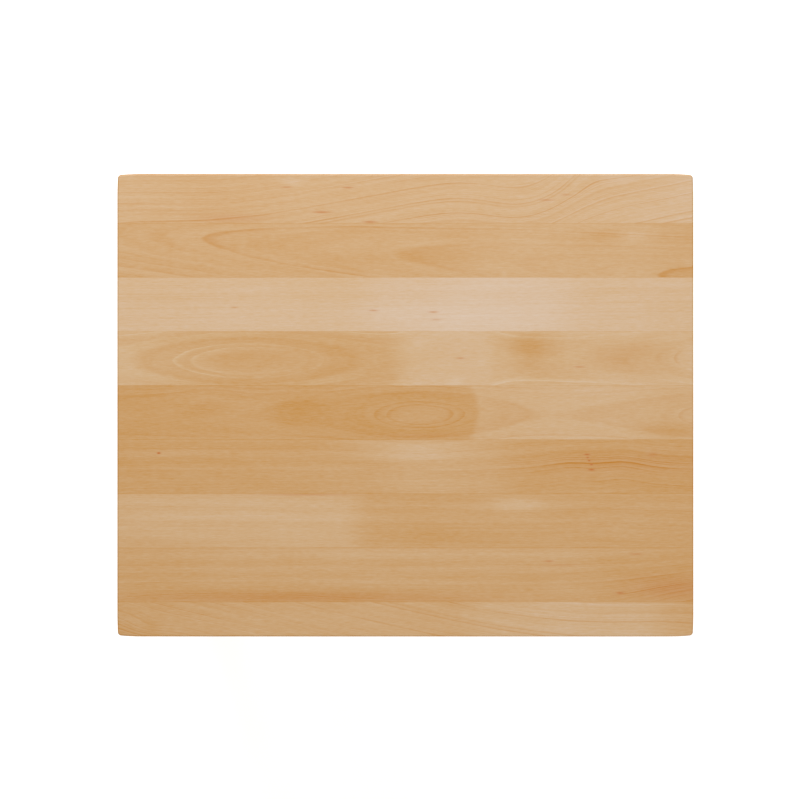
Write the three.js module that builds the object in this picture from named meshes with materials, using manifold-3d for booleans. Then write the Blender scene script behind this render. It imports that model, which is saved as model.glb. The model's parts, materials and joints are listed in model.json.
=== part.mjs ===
// A butcher block table: an edge-glued top of nine full-length staves on four tapered
// legs, joined by mortised aprons, with screwed corner blocks, wooden top buttons and
// screw-adjusted levelling glides. Millimetres, +Z up, origin on the floor under the
// middle of the top, staves along X, front of the table towards -Y.
import * as THREE from "three";
import { mergeVertices } from "three/addons/utils/BufferGeometryUtils.js";
import Module from "manifold-3d";

const wasm = await Module();
wasm.setup();

// ---- Driving dimensions ----------------------------------------------------------

const TABLE_HEIGHT = 750;

const TOP_LENGTH = 762;
const TOP_DEPTH = 612;
const TOP_THICKNESS = 38;
const STAVE_COUNT = 9;
const BACK_STAVE_WIDTH = 65.5; // the two outer staves are ripped down to size
const FRONT_STAVE_WIDTH = 46;
const ARRIS_RADIUS = 2.5; // the rounded upper and lower edges of the top
const CORNER_RADIUS = 4; // the top's corners in plan
const EASE_RUN = 32; // how far from a corner the sanded ease starts
const SIDE_EASE_DROP = 1.7; // how much the ease takes off the long edges at the corner
const END_EASE_DROP = 1; // and off the ends
const CORNER_STEPS = 6; // facets along each curve of a corner
const ARRIS_STEPS = 3;

const TOP_OVERHANG = 32; // from the top's edge to the legs' outer faces

const LEG_SIDE = 64;
const LEG_FOOT_SIDE = 44; // the two inner faces taper to this at the floor
const LEG_CHAMFER = 3;
const TAPER_BELOW_APRON = 18; // where the taper starts

const APRON_HEIGHT = 95;
const APRON_THICKNESS = 22;
const APRON_SETBACK = 6; // behind the legs' outer faces
const APRON_CHAMFER = 2;

const TENON_THICKNESS = 10;
const MORTISE_WALL = 10; // the wood left in a leg between its two mortises
const TENON_HEIGHT = 70;
const TENON_SHOULDER = 13; // above the tenon, so that the mortise stays closed
const GLUE_GAP = 0.2; // round a tenon, and behind it

const BLOCK_THICKNESS = 22;
const BLOCK_HEIGHT = 60;
const BLOCK_BELOW_TOP = 12;
const BLOCK_LEG_GAP = 3; // between the block and the leg's inner edge
const BLOCK_APRON_GAP = 0.3;
const BLOCK_SCREW_INSET = 18; // from the block's long tip to the screw, along its face

const BUTTON_WIDTH = 30;
const BUTTON_REACH = 28; // from the apron's inner face
const BUTTON_THICKNESS = 20;
const BUTTON_TONGUE_LENGTH = 9;
const BUTTON_TONGUE_THICKNESS = 8;
const BUTTON_SCREW_INSET = 14; // from the apron's inner face
const BUTTON_APRON_GAP = 0.4; // lets the top move with the seasons
const BUTTON_FROM_LEG = 135; // on a long apron, from a leg to a button's middle
const SLOT_SIDE_GAP = 3; // beside a button's tongue
const SLOT_GAP = 0.4; // above, below and behind it

const SCREW_LENGTH = 32;
const BUTTON_SCREW_LENGTH = 40;
const SCREW_RADIUS = 2;
const SCREW_HEAD_RADIUS = 4;
const SCREW_HEAD_HEIGHT = 2.6;
const SCREW_TIP = 4;
const SCREW_GAP = 0.25; // between a screw and its hole
const SCREW_SIDES = 12;

const PAD_RADIUS = 15;
const PAD_HEIGHT = 8;
const PAD_EDGE = 1.5;
const PAD_SHOULDER_RADIUS = 9;
const PAD_RIM_HEIGHT = 4;
const SOCKET_RADIUS = 5.2;
const SOCKET_FLOOR = 3;
const SOCKET_LIP = 1.4; // the lip that keeps the stem in the pad
const SWIVEL_GAP = 0.3; // between the stem's swivel end and the pad
const HEX_ACROSS_FLATS = 13;
const HEX_HEIGHT = 5;
const RUNNING_GAP = 0.4; // above and below the hex
const STEM_RADIUS = 3.7;
const STEM_NECK_RADIUS = 3.2;
const STEM_ENGAGEMENT = 34; // how far the stem goes up into the leg
const STEM_TIP = 1;
const THREAD_GAP = 0.2; // between the stem and the insert
const BORE_GAP = 0.6; // between the stem and the leg, and
const BORE_HEADROOM = 2; // above the stem
const INSERT_RADIUS = 6;
const INSERT_LENGTH = 18;
const INSERT_FLANGE_RADIUS = 9;
const INSERT_FLANGE = 1.5;
const INSERT_GAP = 0.2;
const GLIDE_SIDES = 20;

const OPEN = 1; // how far a cutting solid stands out of the face that it opens
const SAME_POINT = 1e-3; // outline points nearer than this are one point

// ---- Places that follow from them -------------------------------------------------

const TOP_UNDERSIDE = TABLE_HEIGHT - TOP_THICKNESS;
const APRON_BOTTOM = TOP_UNDERSIDE - APRON_HEIGHT;
const HEX_BOTTOM = PAD_HEIGHT + RUNNING_GAP;
const FLANGE_BOTTOM = HEX_BOTTOM + HEX_HEIGHT + RUNNING_GAP;
const LEG_BOTTOM = FLANGE_BOTTOM + INSERT_FLANGE;
const TAPER_TOP = APRON_BOTTOM - TAPER_BELOW_APRON;

const legOuter = { x: TOP_LENGTH / 2 - TOP_OVERHANG, y: TOP_DEPTH / 2 - TOP_OVERHANG };
const legInner = { x: legOuter.x - LEG_SIDE, y: legOuter.y - LEG_SIDE };
const apronOuter = { x: legOuter.x - APRON_SETBACK, y: legOuter.y - APRON_SETBACK };
const apronInner = {
  x: apronOuter.x - APRON_THICKNESS,
  y: apronOuter.y - APRON_THICKNESS,
};
const glideAxis = {
  x: legOuter.x - LEG_FOOT_SIDE / 2,
  y: legOuter.y - LEG_FOOT_SIDE / 2,
};
const TENON_INSET = (APRON_THICKNESS - TENON_THICKNESS) / 2;
const TENON_LENGTH =
  LEG_SIDE - APRON_SETBACK - TENON_INSET - TENON_THICKNESS - GLUE_GAP - MORTISE_WALL;
const TENON_TOP = TOP_UNDERSIDE - TENON_SHOULDER;
const BUTTON_BOTTOM = TOP_UNDERSIDE - BUTTON_THICKNESS;
const BLOCK_MIDDLE = TOP_UNDERSIDE - BLOCK_BELOW_TOP - BLOCK_HEIGHT / 2;
const BUTTON_PLACE = legInner.x - BUTTON_FROM_LEG; // on a long apron, from its middle

// ---- Joining and cutting ----------------------------------------------------------

function solidOf(geometry) {
  const bare = geometry.index ? geometry.toNonIndexed() : geometry.clone();
  bare.deleteAttribute("normal");
  bare.deleteAttribute("uv");
  const merged = mergeVertices(bare, 1e-4);
  return new wasm.Manifold(
    new wasm.Mesh({
      numProp: 3,
      vertProperties: merged.attributes.position.array,
      triVerts: new Uint32Array(merged.index.array),
    }),
  );
}

function geometryOf(solid) {
  const mesh = solid.getMesh();
  const geometry = new THREE.BufferGeometry();
  const positions = new Float32Array(mesh.vertProperties);
  geometry.setAttribute("position", new THREE.BufferAttribute(positions, 3));
  geometry.setIndex(new THREE.BufferAttribute(new Uint32Array(mesh.triVerts), 1));
  const faceted = geometry.toNonIndexed();
  faceted.computeVertexNormals();
  return faceted;
}

// The geometry with others joined on and others cut out of it.
function shaped(geometry, { joined = [], cut = [] }) {
  let solid = solidOf(geometry);
  for (const piece of joined) solid = solid.add(solidOf(piece));
  for (const tool of cut) solid = solid.subtract(solidOf(tool));
  return geometryOf(solid);
}

// ---- Shapes -----------------------------------------------------------------------

// A box between two corners.
function box(low, high) {
  const size = high.map((value, i) => value - low[i]);
  const middle = high.map((value, i) => (value + low[i]) / 2);
  return new THREE.BoxGeometry(...size).translate(...middle);
}

// A flat outline raised from one height to another.
function raised(points, bottom, top, steps = 1) {
  const shape = new THREE.Shape(points.map(([x, y]) => new THREE.Vector2(x, y)));
  const options = { depth: top - bottom, steps, bevelEnabled: false };
  return new THREE.ExtrudeGeometry(shape, options).translate(0, 0, bottom);
}

// A profile of [radius, height] points, from the axis to the axis, turned about +Z.
function turned(profile, sides) {
  const points = profile.map(([radius, height]) => new THREE.Vector2(radius, height));
  return new THREE.LatheGeometry(points, sides).rotateX(Math.PI / 2);
}

function rod(radius, bottom, top, sides) {
  return turned([[0, bottom], [radius, bottom], [radius, top], [0, top]], sides);
}

// ---- The top ----------------------------------------------------------------------

// One corner of the outline in plan, from the end's straight to the side's: each edge
// eases in on a long slight curve, and a small arc joins the two.
function topCorner() {
  const half = { x: TOP_LENGTH / 2, y: TOP_DEPTH / 2 };
  const centre = {
    x: half.x - END_EASE_DROP - CORNER_RADIUS,
    y: half.y - SIDE_EASE_DROP - CORNER_RADIUS,
  };
  const endSlope = (2 * END_EASE_DROP) / EASE_RUN;
  const sideSlope = (2 * SIDE_EASE_DROP) / EASE_RUN;
  const arcStart = {
    x: centre.x + CORNER_RADIUS * Math.cos(endSlope),
    y: centre.y + CORNER_RADIUS * Math.sin(endSlope),
  };
  const arcEnd = {
    x: centre.x + CORNER_RADIUS * Math.sin(sideSlope),
    y: centre.y + CORNER_RADIUS * Math.cos(sideSlope),
  };
  // where the arc's end tangents meet the straight edges
  const endBend = arcStart.y - (half.x - arcStart.x) / Math.tan(endSlope);
  const sideBend = arcEnd.x - (half.y - arcEnd.y) / Math.tan(sideSlope);
  const path = new THREE.Path();
  path.moveTo(half.x, half.y - EASE_RUN);
  path.quadraticCurveTo(half.x, endBend, arcStart.x, arcStart.y);
  path.absarc(centre.x, centre.y, CORNER_RADIUS, endSlope, Math.PI / 2 - sideSlope);
  path.quadraticCurveTo(sideBend, half.y, half.x - EASE_RUN, half.y);
  return mergedPoints(path.getPoints(CORNER_STEPS));
}

// The points without those that repeat the one before.
function mergedPoints(points) {
  return points.filter(
    (point, i) => i === 0 || point.distanceTo(points[i - 1]) > SAME_POINT,
  );
}

// The whole outline: the corner mirrored to all four.
function topOutline() {
  const corner = topCorner();
  const mirrored = (sx, sy) => corner.map((p) => new THREE.Vector2(sx * p.x, sy * p.y));
  return new THREE.Shape([
    ...mirrored(1, 1),
    ...mirrored(-1, 1).reverse(),
    ...mirrored(-1, -1),
    ...mirrored(1, -1).reverse(),
  ]);
}

// The whole top with its rounded arrises, as one glued and sanded panel.
function topPanel() {
  const options = {
    depth: TOP_THICKNESS - 2 * ARRIS_RADIUS,
    bevelThickness: ARRIS_RADIUS,
    bevelSize: ARRIS_RADIUS,
    bevelOffset: -ARRIS_RADIUS,
    bevelSegments: ARRIS_STEPS,
  };
  const panel = new THREE.ExtrudeGeometry(topOutline(), options);
  return panel.translate(0, 0, TOP_UNDERSIDE + ARRIS_RADIUS);
}

// The joint lines between staves, from the back edge to the front edge.
function staveLines() {
  const full = STAVE_COUNT - 2;
  const width = (TOP_DEPTH - BACK_STAVE_WIDTH - FRONT_STAVE_WIDTH) / full;
  const lines = [TOP_DEPTH / 2];
  for (let i = 0; i <= full; i++) {
    lines.push(TOP_DEPTH / 2 - BACK_STAVE_WIDTH - i * width);
  }
  lines.push(-TOP_DEPTH / 2);
  return lines;
}

// The panel with its screw holes, sawn along the joint lines.
function staves(holes) {
  const panel = solidOf(shaped(topPanel(), { cut: holes }));
  const lines = staveLines();
  lines[0] += OPEN;
  lines[STAVE_COUNT] -= OPEN;
  return lines.slice(1).map((front, i) => {
    const slab = box(
      [-TOP_LENGTH, front, TOP_UNDERSIDE - OPEN],
      [TOP_LENGTH, lines[i], TABLE_HEIGHT + OPEN],
    );
    return geometryOf(panel.intersect(solidOf(slab)));
  });
}

// ---- Screws -----------------------------------------------------------------------

// A countersunk wood screw that points up +Z with its head's face at height 0.
function screw(length) {
  const profile = [
    [0, 0],
    [SCREW_HEAD_RADIUS, 0],
    [SCREW_RADIUS, SCREW_HEAD_HEIGHT],
    [SCREW_RADIUS, length - SCREW_TIP],
    [0, length],
  ];
  return turned(profile, SCREW_SIDES);
}

// The hole that takes it, open at the head's face.
function screwHole(length) {
  const head = SCREW_HEAD_RADIUS + SCREW_GAP;
  const shank = SCREW_RADIUS + SCREW_GAP;
  const profile = [
    [0, -OPEN],
    [head, -OPEN],
    [head, 0],
    [shank, SCREW_HEAD_HEIGHT],
    [shank, length + SCREW_GAP],
    [0, length + SCREW_GAP],
  ];
  return turned(profile, SCREW_SIDES);
}

// The turn that points +Z along a direction.
function pointed(direction) {
  const up = new THREE.Vector3(0, 0, 1);
  return new THREE.Quaternion().setFromUnitVectors(up, new THREE.Vector3(...direction));
}

// ---- Corner blocks, for the corner at -X -Y ------------------------------------------

// A board across the corner whose ends lie on the aprons: x and y at its ends,
const blockInset = {
  x: -apronInner.x + BLOCK_APRON_GAP,
  y: -apronInner.y + BLOCK_APRON_GAP,
};
// and x + y on its side towards the leg and on its far side.
const blockNear = -legInner.x - legInner.y + BLOCK_LEG_GAP * Math.SQRT2;
const blockFar = blockNear + BLOCK_THICKNESS * Math.SQRT2;

function cornerBlock(cut) {
  const plan = [
    [blockNear - blockInset.y, blockInset.y],
    [blockFar - blockInset.y, blockInset.y],
    [blockInset.x, blockFar - blockInset.x],
    [blockInset.x, blockNear - blockInset.x],
  ];
  const half = BLOCK_HEIGHT / 2;
  return shaped(raised(plan, BLOCK_MIDDLE - half, BLOCK_MIDDLE + half), { cut });
}

// The block's two screws: where each starts, and the way they both point.
const blockStep = BLOCK_SCREW_INSET / Math.SQRT2;
const blockScrewStarts = {
  long: [blockFar - blockInset.y - blockStep, blockInset.y + blockStep, BLOCK_MIDDLE],
  short: [blockInset.x + blockStep, blockFar - blockInset.x - blockStep, BLOCK_MIDDLE],
};
const towardsLeg = [-Math.SQRT1_2, -Math.SQRT1_2, 0];

function blockScrewHole(start, direction) {
  return screwHole(SCREW_LENGTH).applyQuaternion(pointed(direction)).translate(...start);
}

// ---- Legs, for the corner at -X -Y ----------------------------------------------------

function legSection() {
  const [x0, y0, x1, y1] = [-legOuter.x, -legOuter.y, -legInner.x, -legInner.y];
  const c = LEG_CHAMFER;
  return [
    [x0 + c, y0],
    [x1 - c, y0],
    [x1, y0 + c],
    [x1, y1 - c],
    [x1 - c, y1],
    [x0 + c, y1],
    [x0, y1 - c],
    [x0, y0 + c],
  ];
}

// The leg with its outer faces upright and its inner ones tapered from a line below the
// aprons: the extrusion's middle row goes to that line, and its foot shrinks towards the
// outer corner.
function taperedLeg() {
  const blank = raised(legSection(), LEG_BOTTOM, TOP_UNDERSIDE, 2);
  const { position } = blank.attributes;
  const middle = (LEG_BOTTOM + TOP_UNDERSIDE) / 2;
  const shrink = LEG_FOOT_SIDE / LEG_SIDE;
  for (let i = 0; i < position.count; i++) {
    if (Math.abs(position.getZ(i) - middle) < 1) position.setZ(i, TAPER_TOP);
    else if (position.getZ(i) < middle) {
      position.setX(i, -legOuter.x + (position.getX(i) + legOuter.x) * shrink);
      position.setY(i, -legOuter.y + (position.getY(i) + legOuter.y) * shrink);
    }
  }
  return blank;
}

function leg() {
  const slack = GLUE_GAP;
  const mortiseDepth = TENON_LENGTH + slack;
  const mortiseBottom = TENON_TOP - TENON_HEIGHT - slack;
  const inX = -apronOuter.x + TENON_INSET - slack;
  const inY = -apronOuter.y + TENON_INSET - slack;
  const width = TENON_THICKNESS + 2 * slack;
  const mortiseForLongApron = box(
    [-legInner.x - mortiseDepth, inY, mortiseBottom],
    [-legInner.x + OPEN, inY + width, TENON_TOP + slack],
  );
  const mortiseForShortApron = box(
    [inX, -legInner.y - mortiseDepth, mortiseBottom],
    [inX + width, -legInner.y + OPEN, TENON_TOP + slack],
  );
  const insertBore = rod(
    INSERT_RADIUS + INSERT_GAP,
    LEG_BOTTOM - OPEN,
    FLANGE_BOTTOM + INSERT_FLANGE + INSERT_LENGTH + INSERT_GAP,
    GLIDE_SIDES,
  ).translate(-glideAxis.x, -glideAxis.y, 0);
  const stemBore = rod(
    STEM_RADIUS + BORE_GAP,
    LEG_BOTTOM - OPEN,
    LEG_BOTTOM + STEM_ENGAGEMENT + BORE_HEADROOM,
    GLIDE_SIDES,
  ).translate(-glideAxis.x, -glideAxis.y, 0);
  const cut = [mortiseForLongApron, mortiseForShortApron, insertBore, stemBore];
  return shaped(taperedLeg(), { cut });
}

// ---- Levelling glides, about their own axis --------------------------------------------

function glidePad() {
  const mouth = STEM_NECK_RADIUS + SWIVEL_GAP;
  const profile = [
    [0, 0],
    [PAD_RADIUS - PAD_EDGE, 0],
    [PAD_RADIUS, PAD_EDGE],
    [PAD_RADIUS, PAD_RIM_HEIGHT],
    [PAD_SHOULDER_RADIUS, PAD_HEIGHT],
    [mouth, PAD_HEIGHT],
    [mouth, PAD_HEIGHT - SOCKET_LIP],
    [SOCKET_RADIUS, PAD_HEIGHT - SOCKET_LIP],
    [SOCKET_RADIUS, SOCKET_FLOOR],
    [0, SOCKET_FLOOR],
  ];
  return turned(profile, GLIDE_SIDES);
}

function glideStem() {
  const swivelTop = PAD_HEIGHT - SOCKET_LIP - SWIVEL_GAP;
  const swivel = SOCKET_RADIUS - 2 * SWIVEL_GAP;
  const top = LEG_BOTTOM + STEM_ENGAGEMENT;
  const hexTop = HEX_BOTTOM + HEX_HEIGHT;
  const profile = [
    [0, SOCKET_FLOOR + SWIVEL_GAP],
    [swivel, SOCKET_FLOOR + SWIVEL_GAP],
    [swivel, swivelTop],
    [STEM_NECK_RADIUS, swivelTop],
    [STEM_NECK_RADIUS, HEX_BOTTOM + HEX_HEIGHT / 2],
    [STEM_RADIUS, HEX_BOTTOM + HEX_HEIGHT / 2],
    [STEM_RADIUS, top - STEM_TIP],
    [STEM_RADIUS - STEM_TIP, top],
    [0, top],
  ];
  const hexRadius = HEX_ACROSS_FLATS / 2 / Math.cos(Math.PI / 6);
  const hex = rod(hexRadius, HEX_BOTTOM, hexTop, 6);
  return shaped(turned(profile, GLIDE_SIDES), { joined: [hex] });
}

function glideInsert() {
  const hole = STEM_RADIUS + THREAD_GAP;
  const flangeTop = FLANGE_BOTTOM + INSERT_FLANGE;
  const profile = [
    [hole, FLANGE_BOTTOM],
    [INSERT_FLANGE_RADIUS, FLANGE_BOTTOM],
    [INSERT_FLANGE_RADIUS, flangeTop],
    [INSERT_RADIUS, flangeTop],
    [INSERT_RADIUS, flangeTop + INSERT_LENGTH],
    [hole, flangeTop + INSERT_LENGTH],
    [hole, FLANGE_BOTTOM],
  ];
  return turned(profile, GLIDE_SIDES);
}

// ---- Aprons -----------------------------------------------------------------------------

// An apron along X whose outer face is at y = 0, with its tenons.
function apronBoard(span) {
  const half = span / 2;
  const c = APRON_CHAMFER;
  const section = [
    [c, APRON_BOTTOM],
    [APRON_THICKNESS - c, APRON_BOTTOM],
    [APRON_THICKNESS, APRON_BOTTOM + c],
    [APRON_THICKNESS, TOP_UNDERSIDE],
    [0, TOP_UNDERSIDE],
    [0, APRON_BOTTOM + c],
  ];
  // drawn in Y and Z, and raised along X
  const board = raised(section, -half, half).rotateX(Math.PI / 2).rotateZ(Math.PI / 2);
  const tenon = box(
    [-half - TENON_LENGTH, TENON_INSET, TENON_TOP - TENON_HEIGHT],
    [half + TENON_LENGTH, TENON_INSET + TENON_THICKNESS, TENON_TOP],
  );
  return shaped(board, { joined: [tenon] });
}

// The slot for a button's tongue, at a place along an apron.
function buttonSlot(along) {
  const half = BUTTON_WIDTH / 2 + SLOT_SIDE_GAP;
  const depth = BUTTON_TONGUE_LENGTH + SLOT_GAP;
  return box(
    [along - half, APRON_THICKNESS - depth, BUTTON_BOTTOM - SLOT_GAP],
    [along + half, APRON_THICKNESS + OPEN, BUTTON_BOTTOM + BUTTON_TONGUE_THICKNESS + SLOT_GAP],
  );
}

// The front apron, with its slots and the holes that its two corner blocks' screws enter.
function longApron() {
  const slots = [buttonSlot(-BUTTON_PLACE), buttonSlot(BUTTON_PLACE)];
  const board = shaped(apronBoard(2 * legInner.x), { cut: slots });
  const [x, y, z] = blockScrewStarts.long;
  const [dx, dy, dz] = towardsLeg;
  const holes = [
    blockScrewHole([x, y, z], [dx, dy, dz]),
    blockScrewHole([-x, y, z], [-dx, dy, dz]),
  ];
  return shaped(board.translate(0, -apronOuter.y, 0), { cut: holes });
}

// The left apron, in the same way.
function shortApron() {
  const board = shaped(apronBoard(2 * legInner.y), { cut: [buttonSlot(0)] });
  const [x, y, z] = blockScrewStarts.short;
  const [dx, dy, dz] = towardsLeg;
  const holes = [
    blockScrewHole([x, y, z], [dx, dy, dz]),
    blockScrewHole([x, -y, z], [dx, -dy, dz]),
  ];
  return shaped(board.rotateZ(-Math.PI / 2).translate(-apronOuter.x, 0, 0), { cut: holes });
}

// ---- Top buttons ---------------------------------------------------------------------------

// A button on an apron whose inner face is at y = 0, reaching to +Y, with its screw hole.
function button() {
  const profile = [
    [-BUTTON_TONGUE_LENGTH, BUTTON_BOTTOM],
    [BUTTON_REACH, BUTTON_BOTTOM],
    [BUTTON_REACH, TOP_UNDERSIDE],
    [BUTTON_APRON_GAP, TOP_UNDERSIDE],
    [BUTTON_APRON_GAP, BUTTON_BOTTOM + BUTTON_TONGUE_THICKNESS],
    [-BUTTON_TONGUE_LENGTH, BUTTON_BOTTOM + BUTTON_TONGUE_THICKNESS],
  ];
  const half = BUTTON_WIDTH / 2;
  const body = raised(profile, -half, half).rotateX(Math.PI / 2).rotateZ(Math.PI / 2);
  return shaped(body, { cut: [buttonScrewHole()] });
}

function buttonScrewHole() {
  return screwHole(BUTTON_SCREW_LENGTH).translate(0, BUTTON_SCREW_INSET, BUTTON_BOTTOM);
}

// ---- Materials -------------------------------------------------------------------------------

const wood = (colour) =>
  new THREE.MeshStandardMaterial({ color: colour, roughness: 0.45, metalness: 0 });
const staveMaterials = [
  "#d4b087", "#d1a97b", "#d6b795", "#d3ab7c", "#cda36f",
  "#cda06c", "#cda572", "#caa16f", "#cda674",
].map(wood);
const legMaterial = wood("#cfa676");
const apronMaterial = wood("#d1a979");
const hiddenWoodMaterial = wood("#c99f6d");
const steelMaterial = new THREE.MeshStandardMaterial({
  color: "#b9bbbd",
  roughness: 0.35,
  metalness: 1,
});
const padMaterial = new THREE.MeshStandardMaterial({
  color: "#2c2c2e",
  roughness: 0.6,
  metalness: 0,
});

// ---- Assembly ----------------------------------------------------------------------------------

function named(name, geometry, material) {
  const mesh = new THREE.Mesh(geometry, material);
  mesh.name = name;
  return mesh;
}

const table = new THREE.Group();

// The six buttons: where each stands, and which way it faces from its apron.
const buttonPlaces = [
  { name: "front_left", x: -BUTTON_PLACE, y: -apronInner.y, turn: 0 },
  { name: "front_right", x: BUTTON_PLACE, y: -apronInner.y, turn: 0 },
  { name: "back_left", x: -BUTTON_PLACE, y: apronInner.y, turn: Math.PI },
  { name: "back_right", x: BUTTON_PLACE, y: apronInner.y, turn: Math.PI },
  { name: "left", x: -apronInner.x, y: 0, turn: -Math.PI / 2 },
  { name: "right", x: apronInner.x, y: 0, turn: Math.PI / 2 },
];
const buttonShape = button();
const buttonScrewShape = screw(BUTTON_SCREW_LENGTH);
const holesInTop = [];
for (const { name, x, y, turn } of buttonPlaces) {
  const place = new THREE.Group();
  place.position.set(x, y, 0);
  place.rotation.z = turn;
  const fastener = named(`top_button_screw_${name}`, buttonScrewShape, steelMaterial);
  fastener.position.set(0, BUTTON_SCREW_INSET, BUTTON_BOTTOM);
  place.add(named(`top_button_${name}`, buttonShape, hiddenWoodMaterial), fastener);
  holesInTop.push(buttonScrewHole().rotateZ(turn).translate(x, y, 0));
  table.add(place);
}

staves(holesInTop).forEach((shape, i) => {
  table.add(named(`top_stave_${i + 1}`, shape, staveMaterials[i]));
});

// One corner's pieces are modelled at -X -Y and mirrored to the other three.
const legShape = leg();
const blockHoles = Object.values(blockScrewStarts).map((start) =>
  blockScrewHole(start, towardsLeg),
);
const blockShape = cornerBlock(blockHoles);
const blockScrewShape = screw(SCREW_LENGTH);
const glideShapes = {
  pad: [glidePad(), padMaterial],
  stem: [glideStem(), steelMaterial],
  insert: [glideInsert(), steelMaterial],
};
const cornerPlaces = [
  { name: "front_left", sx: 1, sy: 1 },
  { name: "front_right", sx: -1, sy: 1 },
  { name: "back_left", sx: 1, sy: -1 },
  { name: "back_right", sx: -1, sy: -1 },
];
for (const { name, sx, sy } of cornerPlaces) {
  const corner = new THREE.Group();
  corner.scale.set(sx, sy, 1);
  corner.add(named(`leg_${name}`, legShape, legMaterial));
  corner.add(named(`corner_block_${name}`, blockShape, hiddenWoodMaterial));
  for (const [apron, start] of Object.entries(blockScrewStarts)) {
    const fastener = named(`block_screw_${name}_${apron}`, blockScrewShape, steelMaterial);
    fastener.position.set(...start);
    fastener.quaternion.copy(pointed(towardsLeg));
    corner.add(fastener);
  }
  for (const [part, [shape, material]] of Object.entries(glideShapes)) {
    const piece = named(`glide_${part}_${name}`, shape, material);
    piece.position.set(-glideAxis.x, -glideAxis.y, 0);
    corner.add(piece);
  }
  table.add(corner);
}

// Each apron is modelled at the front or the left, and turned half round for its opposite.
const longShape = longApron();
const shortShape = shortApron();
const apronPlaces = [
  { name: "front", shape: longShape, turn: 0 },
  { name: "back", shape: longShape, turn: Math.PI },
  { name: "left", shape: shortShape, turn: 0 },
  { name: "right", shape: shortShape, turn: Math.PI },
];
for (const { name, shape, turn } of apronPlaces) {
  const piece = named(`apron_${name}`, shape, apronMaterial);
  piece.rotation.z = turn;
  table.add(piece);
}

export default table;
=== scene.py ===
"""A butcher block table: nine glued staves on four tapered legs, with mortised aprons,
screwed corner blocks, wooden top buttons and levelling glides.

Metres, +Z up, staves along X, the front towards -Y. Every piece takes its place from the
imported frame, and the sizes and colours that the frame doesn't hold are in the sidebar."""

import json
import math
from dataclasses import dataclass

import bmesh
import bpy
from mathutils import Euler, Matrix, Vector

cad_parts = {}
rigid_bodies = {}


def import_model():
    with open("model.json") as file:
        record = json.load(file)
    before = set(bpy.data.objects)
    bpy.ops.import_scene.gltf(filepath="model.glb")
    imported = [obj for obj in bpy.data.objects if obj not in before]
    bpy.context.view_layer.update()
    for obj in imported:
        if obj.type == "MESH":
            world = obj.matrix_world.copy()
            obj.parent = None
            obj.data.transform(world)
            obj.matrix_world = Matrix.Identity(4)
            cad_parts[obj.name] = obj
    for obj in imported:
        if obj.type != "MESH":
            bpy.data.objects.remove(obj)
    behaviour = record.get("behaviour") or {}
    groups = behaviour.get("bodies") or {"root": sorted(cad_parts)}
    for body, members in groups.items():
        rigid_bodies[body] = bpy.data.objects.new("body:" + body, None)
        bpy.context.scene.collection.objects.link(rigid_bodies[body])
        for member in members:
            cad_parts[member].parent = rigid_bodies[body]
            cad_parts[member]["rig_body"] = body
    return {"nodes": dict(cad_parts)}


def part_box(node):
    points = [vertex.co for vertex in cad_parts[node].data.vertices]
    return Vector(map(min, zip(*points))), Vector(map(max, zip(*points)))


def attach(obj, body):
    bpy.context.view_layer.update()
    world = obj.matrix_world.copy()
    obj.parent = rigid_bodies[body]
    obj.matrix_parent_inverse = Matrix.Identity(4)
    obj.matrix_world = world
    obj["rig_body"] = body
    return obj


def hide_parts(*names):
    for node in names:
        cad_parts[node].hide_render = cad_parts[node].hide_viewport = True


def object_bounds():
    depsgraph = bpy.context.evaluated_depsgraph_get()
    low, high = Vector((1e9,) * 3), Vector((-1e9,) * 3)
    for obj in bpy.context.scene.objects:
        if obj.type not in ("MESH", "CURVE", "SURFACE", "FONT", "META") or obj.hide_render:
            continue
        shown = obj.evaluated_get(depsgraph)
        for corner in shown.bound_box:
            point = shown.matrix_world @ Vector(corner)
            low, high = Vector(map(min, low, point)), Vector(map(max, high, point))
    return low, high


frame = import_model()
CAD_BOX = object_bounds()

bl_info = {
    "name": "Butcher Block Table",
    "version": (1, 0, 0),
    "blender": (4, 5, 0),
    "location": "View3D > Sidebar > Table",
    "description": "Models a butcher block table piece by piece, with its wood and fittings",
    "category": "Add Mesh",
}

MM = 0.001
NEAR = 1e-5  # two places nearer than this are the same
CORNERS = {
    "front_left": (-1, -1),
    "front_right": (1, -1),
    "back_left": (-1, 1),
    "back_right": (1, 1),
}
STAVES = range(1, 10)

# the leg, block and button at the front left are modelled, and their copies are turned by these
CORNER_TURNS = {
    "front_left": 0.0,
    "front_right": math.pi / 2,
    "back_right": math.pi,
    "back_left": -math.pi / 2,
}
BUTTON_TURNS = {
    "front_left": 0.0,
    "front_right": 0.0,
    "back_left": math.pi,
    "back_right": math.pi,
    "left": -math.pi / 2,
    "right": math.pi / 2,
}

# the joinery, which the frame's boxes don't show
JOINT_GAP = 0.2 * MM
TENON_THICKNESS = 10 * MM
TENON_HEIGHT = 70 * MM
TENON_SHOULDER = 13 * MM  # from an apron's upper edge down to its tenon
BLOCK_THICKNESS = 22 * MM
SLOT_GAP = 0.4 * MM  # round a button's tongue in its apron's slot
SLOT_SIDE_GAP = 3 * MM

SCREW_RADIUS = 2 * MM
SCREW_HEAD_RADIUS = 4 * MM
SCREW_HEAD_HEIGHT = 2.6 * MM
SCREW_RIM = 0.3 * MM  # the straight edge of a screw's head, below its cone
SCREW_POINT = 4 * MM
SCREW_PITCH = 1.8 * MM
SCREW_GAP = 0.25 * MM
BLOCK_SCREW_LENGTH = 32 * MM

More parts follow.
